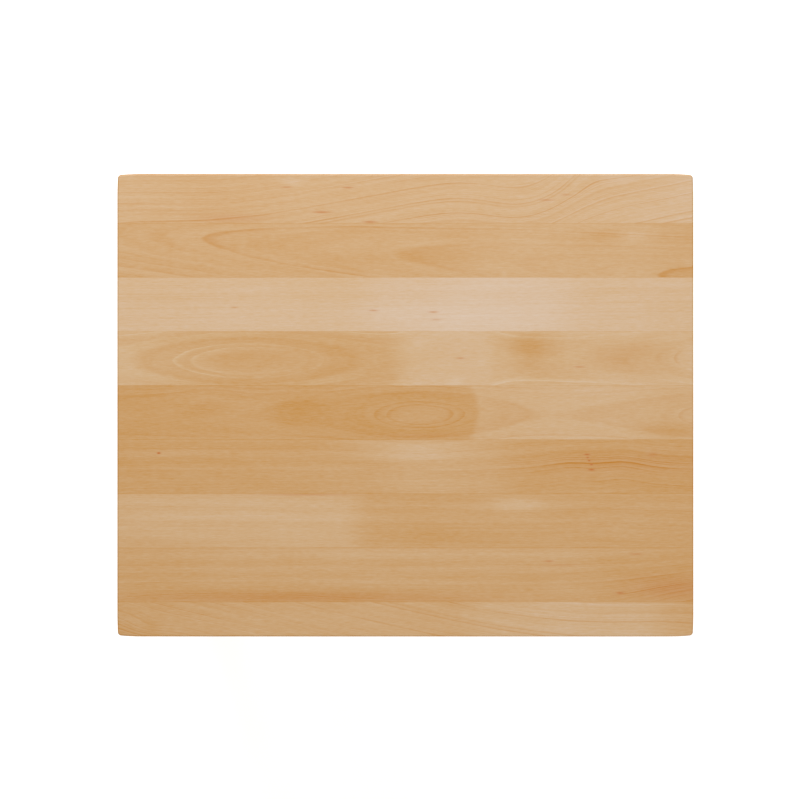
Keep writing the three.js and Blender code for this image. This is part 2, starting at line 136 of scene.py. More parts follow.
INSERT_BODY_RADIUS = 6 * MM
INSERT_BORE_RADIUS = 3.9 * MM
INSERT_FLANGE = 1.5 * MM
INSERT_RIDGES = 7
STEM_BORE_RADIUS = 4.3 * MM  # in the leg, above the insert
STEM_CREST_RADIUS = 3.7 * MM
STEM_ROOT_RADIUS = 3.15 * MM
HEXAGON_BOTTOM = 8.4 * MM  # heights above the floor
HEXAGON_TOP = 13.4 * MM

# the stage
CAMERA_HEIGHT = 3.0  # above the top
CAMERA_PLACE = (-7.1 * MM, 6.9 * MM)
CAMERA_SENSOR = 36.0  # mm
LENS_PER_METRE = 34.04  # mm of lens for each metre of height
FLOOR_SIZE = 24.0
FLOOR_GLOW = 0.54
WORLD_GLOW = 0.55


# ---- Sizes and colours ---------------------------------------------------------------


def length(name, description, default):
    return bpy.props.FloatProperty(
        name=name, description=description, default=default * MM, unit="LENGTH", precision=5
    )


def colour(name, description, default):
    return bpy.props.FloatVectorProperty(
        name=name, description=description, default=default, subtype="COLOR", min=0, max=1
    )


class TableSizes(bpy.types.PropertyGroup):
    """Sizes in the finish of the pieces that a user might change."""

    arris: length("Arris", "Radius of the top's rounded edges", 2.4)
    corner: length("Corner", "Radius of the top's corners in plan", 4)
    ease_run: length("Ease run", "How far from a corner the sanded ease starts", 32)
    side_ease: length("Side ease", "What the ease takes off the long edges", 1.7)
    end_ease: length("End ease", "What the ease takes off the ends", 1)
    leg_edge: length("Leg edge", "Radius of the legs' long edges", 3)
    taper_drop: length("Taper drop", "From the aprons' lower edge to the taper", 18)
    foot: length("Foot", "Side of a leg's foot", 44)
    apron_edge: length("Apron edge", "Radius of the aprons' lower edges", 2)
    fixing_edge: length("Fixing edge", "Sanded edge of the blocks and buttons", 0.8)
    tongue: length("Button tongue", "Length of a button's tongue", 9)
    tongue_height: length("Tongue height", "Thickness of a button's tongue", 8)
    thread_pitch: length("Thread pitch", "Pitch of the glides' threads", 1.25)


class TableColours(bpy.types.PropertyGroup):
    """The colours that the wood and fittings are mixed from."""

    pale: colour("Pale wood", "The palest sapwood", (0.655, 0.486, 0.343))
    medium: colour("Medium wood", "Halfway from the palest to the darkest", (0.614, 0.4, 0.211))
    dark: colour("Dark wood", "The darkest heartwood", (0.56, 0.303, 0.104))
    red: colour("Red fleck", "Reddish brown flecks and streaks", (0.52, 0.19, 0.045))
    zinc: colour("Zinc", "Plated steel", (0.62, 0.63, 0.64))
    nylon: colour("Nylon", "The glides' pads", (0.026, 0.026, 0.028))
    floor: colour("Floor", "The plain pale floor", (0.86, 0.86, 0.855))


# ---- How each board's wood is figured ---------------------------------------------------


@dataclass(frozen=True)
class Figure:
    """One board's wood. Along and across are metres from the board's middle.

    tones: (along, tone), tone 0 the palest and 1 the darkest
    bow: how far the tones' bounds curve back towards the board's sides
    pith: where the tree's middle lay, across and up from the board's middle
    tilt: how far across and up the pith runs, per metre along
    ring, wander: the rings' mean width, and how far they stray from true circles
    line, zone: how dark the rings' lines and broad bands are, in tones; a line under 0 is pale
    swells: (along, across, length, width, rise) that bend the rings into ovals and tongues
    patches: (along, across, length, width, tone) of paler or darker wood
    stains: (along, across, length, width, strength) of reddish wood
    bold: (along, across, length, width, strength) where the rings' lines stand out more
    """

    tones: tuple = ((0.0, 0.5),)
    pith: tuple = (0.0, -0.06)
    tilt: tuple = (0.0, 0.0)
    ring: float = 0.0032
    wander: float = 0.0022
    line: float = 0.65
    zone: float = 0.12
    bow: float = 0.0
    swells: tuple = ()
    patches: tuple = ()
    stains: tuple = ()
    bold: tuple = ()


TOP_FIGURES = {
    1: Figure(
        tones=((-0.38, 0.52), (-0.26, 0.64), (-0.12, 0.56), (0.2, 0.46), (0.3, 0.4), (0.38, 0.3)),
        pith=(-0.12, -0.02),
        tilt=(0.19, 0.0),
        ring=0.0028,
        line=0.5,
        swells=((-0.42, 0.0, 0.14, 0.08, -0.04), (0.16, 0.0, 0.07, 0.08, 0.03),
                (0.24, 0.038, 0.035, 0.025, -0.01)),
        bold=((-0.22, -0.024, 0.12, 0.012, 0.5), (-0.06, -0.004, 0.14, 0.02, 0.4),
              (0.2, 0.02, 0.08, 0.02, 0.1)),
        patches=((-0.148, 0.021, 0.014, 0.004, -0.35), (0.28, 0.026, 0.02, 0.006, -0.2)),
        stains=((-0.23, -0.026, 0.04, 0.005, 0.3), (-0.157, 0.015, 0.007, 0.0011, 0.7),
                (-0.076, 0.0145, 0.007, 0.0011, 0.9), (-0.111, -0.018, 0.01, 0.0012, 1.0),
                (-0.047, -0.031, 0.008, 0.0012, 1.0), (0.187, -0.002, 0.009, 0.0012, 0.6),
                (0.212, 0.005, 0.006, 0.0012, 0.5)),
    ),
    2: Figure(
        tones=((-0.38, 0.72), (-0.1, 0.7), (0.06, 0.66), (0.14, 0.6), (0.25, 0.64), (0.38, 0.72)),
        pith=(-0.006, -0.05),
        tilt=(-0.08, 0.035),
        ring=0.0032,
        wander=0.0016,
        line=0.4,
        zone=0.2,
        bold=((-0.05, -0.01, 0.14, 0.02, 0.3), (0.09, 0.008, 0.05, 0.01, 0.4)),
        patches=((0.005, -0.009, 0.12, 0.009, 0.2), (0.305, 0.018, 0.025, 0.012, -0.3),
                 (0.262, 0.019, 0.02, 0.006, 0.2),
                 (-0.2, 0.006, 0.05, 0.008, 0.1)),
    ),
    3: Figure(
        tones=((-0.38, 0.38), (-0.2, 0.36), (-0.09, 0.4), (0.0, 0.2), (0.08, 0.08), (0.17, 0.13),
               (0.26, 0.32), (0.38, 0.36)),
        pith=(0.3, 0.03),
        tilt=(0.012, 0.0),
        ring=0.0034,
        wander=0.0015,
        line=0.14,
        zone=0.06,
        patches=((-0.06, -0.02, 0.34, 0.016, -0.14), (0.1, -0.012, 0.16, 0.012, -0.1)),
        stains=((-0.226, -0.004, 0.004, 0.001, 0.5), (-0.042, -0.008, 0.006, 0.0011, 0.7),
                (0.037, -0.01, 0.006, 0.0011, 0.7), (0.04, -0.02, 0.006, 0.0011, 0.4)),
    ),
    4: Figure(
        tones=((-0.38, 0.62), (-0.24, 0.8), (-0.11, 0.84), (-0.03, 0.82), (0.02, 0.42), (0.1, 0.4),
               (0.125, 0.56), (0.17, 0.72), (0.25, 0.58), (0.38, 0.5)),
        pith=(-0.002, -0.085),
        ring=0.0031,
        wander=0.0012,
        line=-0.55,
        zone=0.14,
        swells=((-0.208, -0.003, 0.14, 0.05, -0.0145), (0.062, 0.05, 0.06, 0.03, -0.012),
                (0.065, -0.046, 0.05, 0.022, -0.009), (0.6, 0.003, 0.22, 0.045, -0.034)),
        bold=((0.31, 0.0, 0.07, 0.024, 1.7), (0.06, 0.01, 0.06, 0.03, 0.9),
              (-0.208, -0.003, 0.1, 0.024, 0.34)),
        patches=((0.162, 0.016, 0.028, 0.018, 0.35), (-0.21, -0.002, 0.06, 0.012, 0.16)),
        stains=((0.073, 0.0005, 0.005, 0.0011, 0.7), (0.23, -0.011, 0.007, 0.0011, 0.7)),
    ),
    5: Figure(
        tones=((-0.38, 0.98), (-0.2, 0.92), (-0.1, 0.95), (0.06, 0.9), (0.09, 0.88), (0.102, 0.58),
               (0.2, 0.5), (0.3, 0.51), (0.38, 0.58)),
        bow=9.0,
        pith=(-0.003, -0.085),
        ring=0.0031,
        wander=0.0014,
        line=0.36,
        zone=0.12,
        swells=((0.019, -0.003, 0.09, 0.035, -0.014), (-0.26, 0.022, 0.04, 0.018, -0.003),
                (-0.145, 0.002, 0.03, 0.02, -0.004), (0.43, -0.004, 0.13, 0.035, -0.013)),
        patches=((-0.135, 0.0, 0.03, 0.014, 0.14), (0.35, -0.024, 0.04, 0.01, 0.35),
                 (-0.27, 0.018, 0.03, 0.008, -0.16)),
        stains=((0.02, -0.031, 0.06, 0.003, 0.14),),
        bold=((0.02, 0.0, 0.05, 0.024, 0.5), (0.15, 0.0, 0.06, 0.03, 0.2)),
    ),
    6: Figure(
        tones=((-0.38, 0.9), (-0.15, 0.86), (-0.06, 0.8), (0.02, 0.68), (0.1, 0.74), (0.18, 0.88),
               (0.38, 0.9)),
        pith=(-0.1, -0.04),
        ring=0.0038,
        line=0.16,
        bold=((0.27, 0.004, 0.12, 0.016, 1.1), (0.33, -0.028, 0.12, 0.006, 0.3),
              (-0.1, 0.03, 0.1, 0.01, 0.1)),
        swells=((0.012, 0.045, 0.08, 0.03, 0.016), (0.26, 0.0, 0.11, 0.06, -0.01),
                (0.212, 0.0, 0.028, 0.06, -0.003), (0.29, 0.0, 0.028, 0.06, -0.004)),
        patches=((0.02, 0.02, 0.07, 0.013, -0.35),),
        stains=((-0.326, 0.018, 0.0025, 0.001, 2.0), (0.24, 0.016, 0.004, 0.001, 1.5),
                (0.241, 0.012, 0.0018, 0.001, 1.5), (0.243, 0.008, 0.0018, 0.001, 1.5),
                (0.246, 0.003, 0.002, 0.001, 1.5), (0.246, -0.004, 0.004, 0.0011, 1.5),
                (0.3, 0.004, 0.12, 0.014, 0.14), (0.327, 0.016, 0.006, 0.003, 0.4)),
    ),
    7: Figure(
        tones=((-0.38, 0.62), (-0.3, 0.57), (-0.09, 0.54), (-0.04, 0.82), (0.02, 0.83), (0.1, 0.77),
               (0.38, 0.84)),
        pith=(0.16, 0.02),
        tilt=(-0.01, 0.0),
        ring=0.004,
        wander=0.0026,
        line=0.12,
        swells=((0.25, -0.01, 0.05, 0.04, 0.004),),
        patches=((0.152, 0.022, 0.035, 0.01, -0.4), (0.08, -0.02, 0.12, 0.013, 0.16),
                 (-0.2, 0.006, 0.2, 0.008, -0.12), (-0.3, -0.03, 0.12, 0.006, 0.16)),
        stains=((-0.13, 0.0345, 0.06, 0.0012, 0.5),),
    ),
    8: Figure(
        tones=((-0.38, 0.82), (-0.1, 0.74), (0.06, 0.76), (0.2, 0.76), (0.3, 0.84), (0.38, 0.9)),
        pith=(-0.1, -0.03),
        ring=0.0034,
        line=0.16,
        bold=((0.35, -0.016, 0.07, 0.016, 1.1), (-0.14, -0.03, 0.2, 0.008, 0.4)),
        swells=((-0.24, -0.04, 0.16, 0.03, -0.01), (0.43, -0.03, 0.13, 0.06, -0.03)),
        patches=((-0.13, -0.028, 0.2, 0.011, 0.3), (0.0, 0.03, 0.3, 0.008, -0.16)),
        stains=((-0.14, -0.03, 0.22, 0.008, 0.3), (0.36, -0.018, 0.06, 0.016, 0.42),
                (0.284, -0.024, 0.005, 0.0014, 1.0), (0.19, 0.018, 0.006, 0.0012, 0.8),
                (0.305, 0.0275, 0.008, 0.0012, 0.6), (0.205, 0.013, 0.02, 0.0012, 0.3)),
    ),
    9: Figure(
        tones=((-0.38, 0.78), (-0.2, 0.7), (0.06, 0.68), (0.14, 0.5), (0.22, 0.4), (0.3, 0.44),
               (0.38, 0.76)),
        pith=(0.16, -0.02),
        tilt=(-0.24, 0.0),
        ring=0.0036,
        line=0.45,
        swells=((-0.34, -0.008, 0.03, 0.014, -0.008), (0.45, 0.0, 0.2, 0.08, 0.06)),
        patches=((-0.335, -0.01, 0.012, 0.008, 0.2),),
    ),
}

BASE_FIGURES = {
    "leg_front_left": Figure(tones=((-0.35, 0.7), (0.1, 0.6), (0.35, 0.66)), pith=(0.02, -0.075)),
    "leg_front_right": Figure(tones=((-0.35, 0.5), (0.0, 0.62), (0.35, 0.52)), pith=(-0.06, 0.05)),
    "leg_back_left": Figure(tones=((-0.35, 0.6), (0.35, 0.72)), pith=(0.05, 0.07)),
    "leg_back_right": Figure(tones=((-0.35, 0.76), (0.35, 0.6)), pith=(-0.03, -0.09)),
    "apron_front": Figure(
        tones=((-0.3, 0.66), (0.05, 0.56), (0.3, 0.7)), pith=(-0.045, 0.006),
        swells=((0.08, 0.0, 0.12, 0.03, 0.01), (-0.2, 0.01, 0.08, 0.03, 0.006)),
    ),
    "apron_back": Figure(
        tones=((-0.3, 0.5), (0.3, 0.66)), pith=(0.05, -0.004),
        swells=((-0.05, 0.0, 0.1, 0.03, 0.008),),
    ),
    "apron_left": Figure(tones=((-0.25, 0.7), (0.25, 0.58)), pith=(-0.05, -0.01)),
    "apron_right": Figure(
        tones=((-0.25, 0.6), (0.25, 0.76)), pith=(0.045, 0.01),
        swells=((0.03, 0.0, 0.09, 0.03, 0.008),),
    ),
    "corner_block": Figure(tones=((0.0, 0.5),), pith=(-0.03, 0.01)),
    "top_button": Figure(tones=((0.0, 0.6),), pith=(-0.03, 0.02)),
}


# ---- Shader nodes ------------------------------------------------------------------------


class Tree:
    """Adds nodes to a node tree and links them; an input takes a socket or a plain value."""

    def __init__(self, tree):
        self.tree = tree

    def add(self, kind, inputs=None, **settings):
        node = self.tree.nodes.new(kind)
        place = len(self.tree.nodes)
        node.location = (200 * (place % 10), -260 * (place // 10))
        for key, value in settings.items():
            setattr(node, key, value)
        for key, value in (inputs or {}).items():
            self.feed(node.inputs[key], value)
        return node

    def feed(self, socket, value):
        if isinstance(value, bpy.types.NodeSocket):
            self.tree.links.new(value, socket)
        else:
            socket.default_value = value

    def math(self, operation, a, b=None, clamp=False):
        inputs = {0: a} if b is None else {0: a, 1: b}
        return self.add("ShaderNodeMath", inputs, operation=operation, use_clamp=clamp).outputs[0]

    def total(self, *values):
        """The sum of the values."""
        result = values[0]
        for value in values[1:]:
            result = self.math("ADD", result, value)
        return result

    def weigh(self, *pairs):
        """The sum of values, each taken times its share; pairs are (value, share)."""
        return self.total(*[self.math("MULTIPLY", value, share) for value, share in pairs])

    def vector(self, operation, a, b=None):
        inputs = {0: a} if b is None else {0: a, 1: b}
        node = self.add("ShaderNodeVectorMath", inputs, operation=operation)
        scalar = operation in ("LENGTH", "DOT_PRODUCT")
        return node.outputs["Value" if scalar else "Vector"]

    def split(self, vector):
        """A vector's three parts."""
        return self.add("ShaderNodeSeparateXYZ", {0: vector}).outputs

    def join(self, parts):
        """A vector from its parts, by their number."""
        return self.add("ShaderNodeCombineXYZ", parts).outputs[0]

    def scale(self, vector, factor):
        node = self.add("ShaderNodeVectorMath", {0: vector, "Scale": factor}, operation="SCALE")
        return node.outputs["Vector"]

    def ease(self, value, low, high, out_low=0.0, out_high=1.0):
        """A smooth step from out_low to out_high as value goes from low to high."""
        inputs = {
            "Value": value, "From Min": low, "From Max": high,
            "To Min": out_low, "To Max": out_high,
        }
        node = self.add("ShaderNodeMapRange", inputs, interpolation_type="SMOOTHSTEP")
        return node.outputs["Result"]

    def noise(self, position, stretch, detail=2.0, roughness=0.5):
        """Noise from -1 to 1, with that many features to a metre each way."""
        scaled = self.vector("MULTIPLY", position, stretch)
        inputs = {"Vector": scaled, "Scale": 1.0, "Detail": detail, "Roughness": roughness}
        return self.centre(self.add("ShaderNodeTexNoise", inputs).outputs["Fac"])

    def noise_from(self, value):
        """Noise from 0 to 1 that changes with a single value."""
        inputs = {"W": value, "Scale": 1.0, "Detail": 1.0}
        return self.add("ShaderNodeTexNoise", inputs, noise_dimensions="1D").outputs["Fac"]

    def centre(self, value):
        """Spreads a value from 0 to 1 over -1 to 1."""
        return self.math("MULTIPLY", self.math("SUBTRACT", value, 0.5), 2.0)

    def clamp(self, value):
        return self.math("ADD", value, 0.0, clamp=True)

    def mix(self, factor, a, b):
        """A colour between two, and past either where the factor is below 0 or above 1."""
        node = self.add("ShaderNodeMix", data_type="RGBA", clamp_factor=False)
        self.feed(node.inputs[0], factor)
        self.feed(node.inputs[6], a)
        self.feed(node.inputs[7], b)
        return node.outputs[2]


def solid(colour_of):
    """A colour with its full opacity."""
    return (*colour_of, 1.0)


def new_group(name, inputs, outputs):
    """A shader node group; inputs are (name, kind, default) and outputs (name, kind)."""
    group = bpy.data.node_groups.new(name, "ShaderNodeTree")
    for title, kind, default in inputs:
        socket = group.interface.new_socket(title, in_out="INPUT", socket_type=kind)
        if default is not None:
            socket.default_value = default
    for title, kind in outputs:
        group.interface.new_socket(title, in_out="OUTPUT", socket_type=kind)
    tree = Tree(group)
    source = group.nodes.new("NodeGroupInput")
    sink = group.nodes.new("NodeGroupOutput")
    return tree, source.outputs, sink.inputs


def use_group(tree, name, inputs):
    node = tree.add("ShaderNodeGroup", node_tree=bpy.data.node_groups[name])
    for key, value in inputs.items():
        tree.feed(node.inputs[key], value)
    return node.outputs


FLOAT = "NodeSocketFloat"
VECTOR = "NodeSocketVector"
COLOUR = "NodeSocketColor"


def group_soft_patch():
    """A soft-edged oval: 1 in its middle and 0 outside it."""
    inputs = [
        ("Position", VECTOR, None),
        ("Centre", VECTOR, (0.0, 0.0, 0.0)),
        ("Size", VECTOR, (1.0, 1.0, 1.0)),
        ("Strength", FLOAT, 1.0),
    ]
    tree, given, out = new_group("Soft Patch", inputs, [("Mask", FLOAT)])
    away = tree.vector("SUBTRACT", given["Position"], given["Centre"])
    share = tree.vector("DIVIDE", away, given["Size"])
    square = tree.vector("DOT_PRODUCT", share, share)
    fall = tree.math("EXPONENT", tree.math("MULTIPLY", square, -1.0))
    tree.feed(out["Mask"], tree.math("MULTIPLY", fall, given["Strength"]))


def group_growth_rings():
    """The lines and zones of growth rings round a pith that runs along X."""
    inputs = [
        ("Position", VECTOR, None),
        ("Pith", VECTOR, (0.0, 0.0, -0.06)),
        ("Tilt", VECTOR, (0.0, 0.0, 0.0)),
        ("Swell", FLOAT, 0.0),
        ("Ring Width", FLOAT, 0.0032),
        ("Wander", FLOAT, 0.002),
    ]
    outputs = [("Line", FLOAT), ("Zone", FLOAT), ("Thread", FLOAT)]
    tree, given, out = new_group("Growth Rings", inputs, outputs)
    position = given["Position"]
    along = tree.split(position)[0]
    pith = tree.vector("ADD", given["Pith"], tree.scale(given["Tilt"], along))
    away = tree.vector("SUBTRACT", position, pith)
    away = tree.vector("MULTIPLY", away, (0.0, 1.0, 1.0))
    radius = tree.vector("LENGTH", away)
    wide = tree.noise(position, (5.0, 16.0, 16.0), detail=1.0)
    fine = tree.noise(position, (24.0, 90.0, 90.0), detail=2.0)
    waver = tree.total(wide, tree.math("MULTIPLY", fine, 0.22))
    waver = tree.math("MULTIPLY", waver, given["Wander"])
    depth = tree.total(radius, given["Swell"], waver)
    flow = tree.join({0: along, 1: depth})
    tree.feed(out["Thread"], tree.noise(flow, (9.0, 620.0, 1.0), detail=3.0, roughness=0.6))
    even = tree.math("DIVIDE", depth, given["Ring Width"])
    # good and poor years, so that no two rings are alike in width
    years = tree.noise_from(tree.math("MULTIPLY", even, 0.24))
    rings = tree.math("ADD", even, tree.math("MULTIPLY", years, 3.2))
    phase = tree.math("FRACT", rings)
    number = tree.math("FLOOR", rings)
    chance = tree.add("ShaderNodeTexWhiteNoise", {"W": number}, noise_dimensions="1D")
    strength = tree.math("POWER", chance.outputs["Value"], 1.4)
    strength = tree.ease(strength, 0.0, 1.0, 0.12, 1.0)
    # a line darkens slowly through the year's growth, then fast, and ends at once
    rise = tree.total(tree.ease(phase, 0.0, 0.85, 0.0, 0.4), tree.ease(phase, 0.55, 0.88, 0.0, 0.6))
    drop = tree.ease(phase, 0.88, 1.0, 1.0, 0.0)
    faded = tree.ease(tree.noise(position, (7.0, 26.0, 26.0), detail=1.0), -0.35, 0.3, 0.3, 1.0)
    line = tree.math("MULTIPLY", tree.math("MULTIPLY", rise, drop), strength)
    tree.feed(out["Line"], tree.math("MULTIPLY", line, faded))
    tree.feed(out["Zone"], tree.centre(tree.noise_from(tree.math("MULTIPLY", rings, 0.4))))


def group_wood_fibre():
    """Fine streaks, cloudiness, pores and the height of the grain, along X."""
    outputs = [("Streak", FLOAT), ("Cloud", FLOAT), ("Pore", FLOAT), ("Height", FLOAT)]
    tree, given, out = new_group("Wood Fibre", [("Position", VECTOR, None)], outputs)
    position = given["Position"]
    bend = tree.math("MULTIPLY", tree.noise(position, (9.0, 20.0, 20.0), detail=1.0), 0.0012)
    bent = tree.vector("ADD", position, tree.join({1: bend}))
    coarse = tree.noise(bent, (30.0, 420.0, 420.0), detail=3.0, roughness=0.65)
    fine = tree.noise(bent, (95.0, 1000.0, 1000.0), detail=2.0, roughness=0.6)
    streak = tree.weigh((coarse, 0.55), (fine, 1.3))
    dots = tree.noise(bent, (150.0, 2900.0, 2900.0), detail=1.0)
    pore = tree.ease(dots, 0.28, 0.55)
    tree.feed(out["Streak"], streak)
    tree.feed(out["Cloud"], tree.noise(position, (11.0, 45.0, 45.0), detail=2.0))
    tree.feed(out["Pore"], pore)
    tree.feed(out["Height"], tree.weigh((streak, 0.35), (pore, -1.0)))


def group_edge_wear_and_painted_shade():
    """Where a surface turns from one flat face to the next (painted shade on wood, wear on zinc and
    nylon), and where it faces the end grain.
    """
    inputs = [("Normal", VECTOR, None), ("Position", VECTOR, None), ("Grain", VECTOR, (1.0, 0.0, 0.0))]
    outputs = [("Edge", FLOAT), ("End Grain", FLOAT)]
    tree, given, out = new_group("Edge Wear And Painted Shade", inputs, outputs)
    x, y, z = tree.split(tree.vector("ABSOLUTE", given["Normal"]))
    most = tree.math("MAXIMUM", x, tree.math("MAXIMUM", y, z))
    # the edge mask: painted shade on the wood's rounded edges, and wear on the zinc and nylon
    edge = tree.ease(most, 0.995, 0.86)
    uneven = tree.ease(tree.noise(given["Position"], (60.0, 60.0, 60.0)), -0.6, 0.5, 0.55, 1.0)
    tree.feed(out["Edge"], tree.math("MULTIPLY", edge, uneven))
    facing = tree.math("ABSOLUTE", tree.vector("DOT_PRODUCT", given["Normal"], given["Grain"]))
    tree.feed(out["End Grain"], tree.ease(facing, 0.5, 0.95))


def group_wood_tone():
    """A wood's colour from its tone, from pale to dark, and its redness."""
    inputs = [
        ("Tone", FLOAT, 0.5),
        ("Redness", FLOAT, 0.0),
        ("Pale", COLOUR, (0.7, 0.5, 0.3, 1.0)),
        ("Medium", COLOUR, (0.6, 0.4, 0.2, 1.0)),
        ("Dark", COLOUR, (0.5, 0.3, 0.1, 1.0)),
        ("Red", COLOUR, (0.4, 0.1, 0.05, 1.0)),
    ]
    tree, given, out = new_group("Wood Tone", inputs, [("Color", COLOUR)])
    twice = tree.math("MULTIPLY", given["Tone"], 2.0)
    lower = tree.mix(tree.math("MINIMUM", twice, 1.0), given["Pale"], given["Medium"])
    upper = tree.math("MAXIMUM", tree.math("SUBTRACT", twice, 1.0), 0.0)
    brown = tree.mix(upper, lower, given["Dark"])
    tree.feed(out["Color"], tree.mix(given["Redness"], brown, given["Red"]))


def group_scuffs():
    """Faint rubbed patches and fine scratches on a finished surface."""
    tree, given, out = new_group("Scuffs", [("Position", VECTOR, None)], [("Mask", FLOAT)])
    rubbed = tree.ease(tree.noise(given["Position"], (14.0, 14.0, 14.0), detail=4.0), 0.0, 0.7)
    scratch = tree.noise(given["Position"], (500.0, 26.0, 500.0), detail=1.0)
    scratch = tree.ease(scratch, 0.5, 0.62)
    tree.feed(out["Mask"], tree.weigh((rubbed, 0.7), (scratch, 0.3)))


def build_groups():
    group_soft_patch()
    group_growth_rings()
    group_wood_fibre()
    group_edge_wear_and_painted_shade()
    group_wood_tone()
    group_scuffs()


# ---- Materials ---------------------------------------------------------------------------


def new_material(name):
    material = bpy.data.materials.new(name)
    material.use_nodes = True
    material.node_tree.nodes.clear()
    tree = Tree(material.node_tree)
    shader = tree.add("ShaderNodeBsdfPrincipled")
    output = tree.add("ShaderNodeOutputMaterial")
    tree.feed(output.inputs["Surface"], shader.outputs[0])
    return material, tree, shader.inputs


def tone_along(tree, position, figure):
    """The board's tone as it changes from one end to the other."""
    tones = figure.tones
    if len(tones) == 1:
        return tones[0][1]
    along, across, _ = tree.split(position)
    if figure.bow:
        square = tree.math("MULTIPLY", across, across)
        along = tree.math("ADD", along, tree.math("MULTIPLY", square, figure.bow))
    first, last = tones[0][0], tones[-1][0]
    bounds = {"Value": along, "From Min": first, "From Max": last}
    place = tree.add("ShaderNodeMapRange", bounds).outputs["Result"]
    ramp = tree.add("ShaderNodeValToRGB", {0: place})
    ramp.color_ramp.interpolation = "EASE"
    stops = ramp.color_ramp.elements
    while len(stops) < len(tones):
        stops.new(0.5)
    for stop, (at, _) in zip(stops, tones):
        stop.position = (at - first) / (last - first)
    for stop, (_, tone) in zip(stops, tones):
        stop.color = (tone, tone, tone, 1.0)
    return ramp.outputs["Color"]


def patches(tree, position, rows):
    """The sum of soft patches, each (along, across, length, width, strength)."""
    deep = 0.05
    masks = [
        use_group(tree, "Soft Patch", {
            "Position": position,
            "Centre": (along, across, 0.0),
            "Size": (long, wide, deep),
            "Strength": strength,
        })["Mask"]
        for along, across, long, wide, strength in rows
    ]
    return tree.total(*masks) if masks else 0.0


def roughen(tree, shader, height, strength, depth):
    """Gives a surface the relief of a height, at most so deep."""
    bump = tree.add("ShaderNodeBump", {"Height": height, "Strength": strength, "Distance": depth})
    tree.feed(shader["Normal"], bump.outputs[0])


def glue_line(tree, position, half_width):
    """The thin darker line where two staves meet."""
    from_middle = tree.math("ABSOLUTE", tree.split(position)[1])
    return tree.ease(from_middle, half_width - 0.7 * MM, half_width, 0.0, 0.3)


def wood(name, figure, middle, turn=(0.0, 0.0, 0.0), varnished=True, glued_at=None):
    """Wood whose grain runs along X of a position that is turned and centred on its board.

    glued_at is how far from the board's middle its glue lines lie, where it has any."""
    colours = bpy.context.scene.table_colours
    material, tree, shader = new_material(name)
    rotation = Euler(turn).to_matrix()
    seen = tree.add("ShaderNodeTexCoord").outputs
    place = {"Vector": seen["Object"], "Location": -(rotation @ middle), "Rotation": turn}
    position = tree.add("ShaderNodeMapping", place).outputs[0]
    swell = patches(tree, position, figure.swells)
    rings = use_group(tree, "Growth Rings", {
        "Position": position,
        "Pith": (0.0, *figure.pith),
        "Tilt": (0.0, *figure.tilt),
        "Swell": swell,
        "Ring Width": figure.ring,
        "Wander": figure.wander,
    })
    # the fibre differs from board to board, so it is read at a place of the board's own
    own = tree.vector("ADD", position, middle * 3.1)
    fibre = use_group(tree, "Wood Fibre", {"Position": own})
    grain = rotation.transposed() @ Vector((1.0, 0.0, 0.0))
    wear_and_shade = use_group(tree, "Edge Wear And Painted Shade", {
        "Normal": seen["Normal"],
        "Position": seen["Object"],
        "Grain": grain,
    })
    line_share = tree.math("ADD", patches(tree, position, figure.bold), figure.line)
    lines = tree.math("MULTIPLY", rings["Line"], line_share)
    tone = tree.total(
        tone_along(tree, position, figure),
        patches(tree, position, figure.patches),
        lines,
        tree.math("MULTIPLY", rings["Zone"], figure.zone),
        tree.math("MULTIPLY", rings["Thread"], 0.16),
        tree.math("MULTIPLY", fibre["Streak"], 0.3),
        tree.math("MULTIPLY", fibre["Cloud"], 0.12),
        tree.math("MULTIPLY", fibre["Pore"], 0.16),
        # painted shade: the rounded edges are darkened in colour, as if turned from the light
        tree.math("MULTIPLY", wear_and_shade["Edge"], 0.45),
        tree.math("MULTIPLY", wear_and_shade["End Grain"], 0.4),
    )
    if glued_at is not None:
        tone = tree.math("ADD", tone, glue_line(tree, position, glued_at))
    stained = patches(tree, position, figure.stains)
    paint = {
        "Tone": tone,
        "Redness": tree.math("ADD", stained, tree.math("MULTIPLY", lines, 0.4)),
        "Pale": solid(colours.pale),
        "Medium": solid(colours.medium),
        "Dark": solid(colours.dark),
        "Red": solid(colours.red),
    }
    tree.feed(shader["Base Color"], use_group(tree, "Wood Tone", paint)["Color"])
    smooth, rough = (0.36, 0.5) if varnished else (0.62, 0.8)
    dull = tree.weigh((fibre["Streak"], 0.2), (wear_and_shade["End Grain"], 0.5), (fibre["Cloud"], 0.4))
    tree.feed(shader["Roughness"], tree.ease(dull, -0.7, 0.9, smooth, rough))
    shader["Coat Weight"].default_value = 0.1 if varnished else 0.0
    shader["Coat Roughness"].default_value = 0.24
    relief = tree.total(fibre["Height"], tree.math("MULTIPLY", rings["Line"], 0.5))
    roughen(tree, shader, relief, strength=0.35, depth=0.05 * MM)
    return material


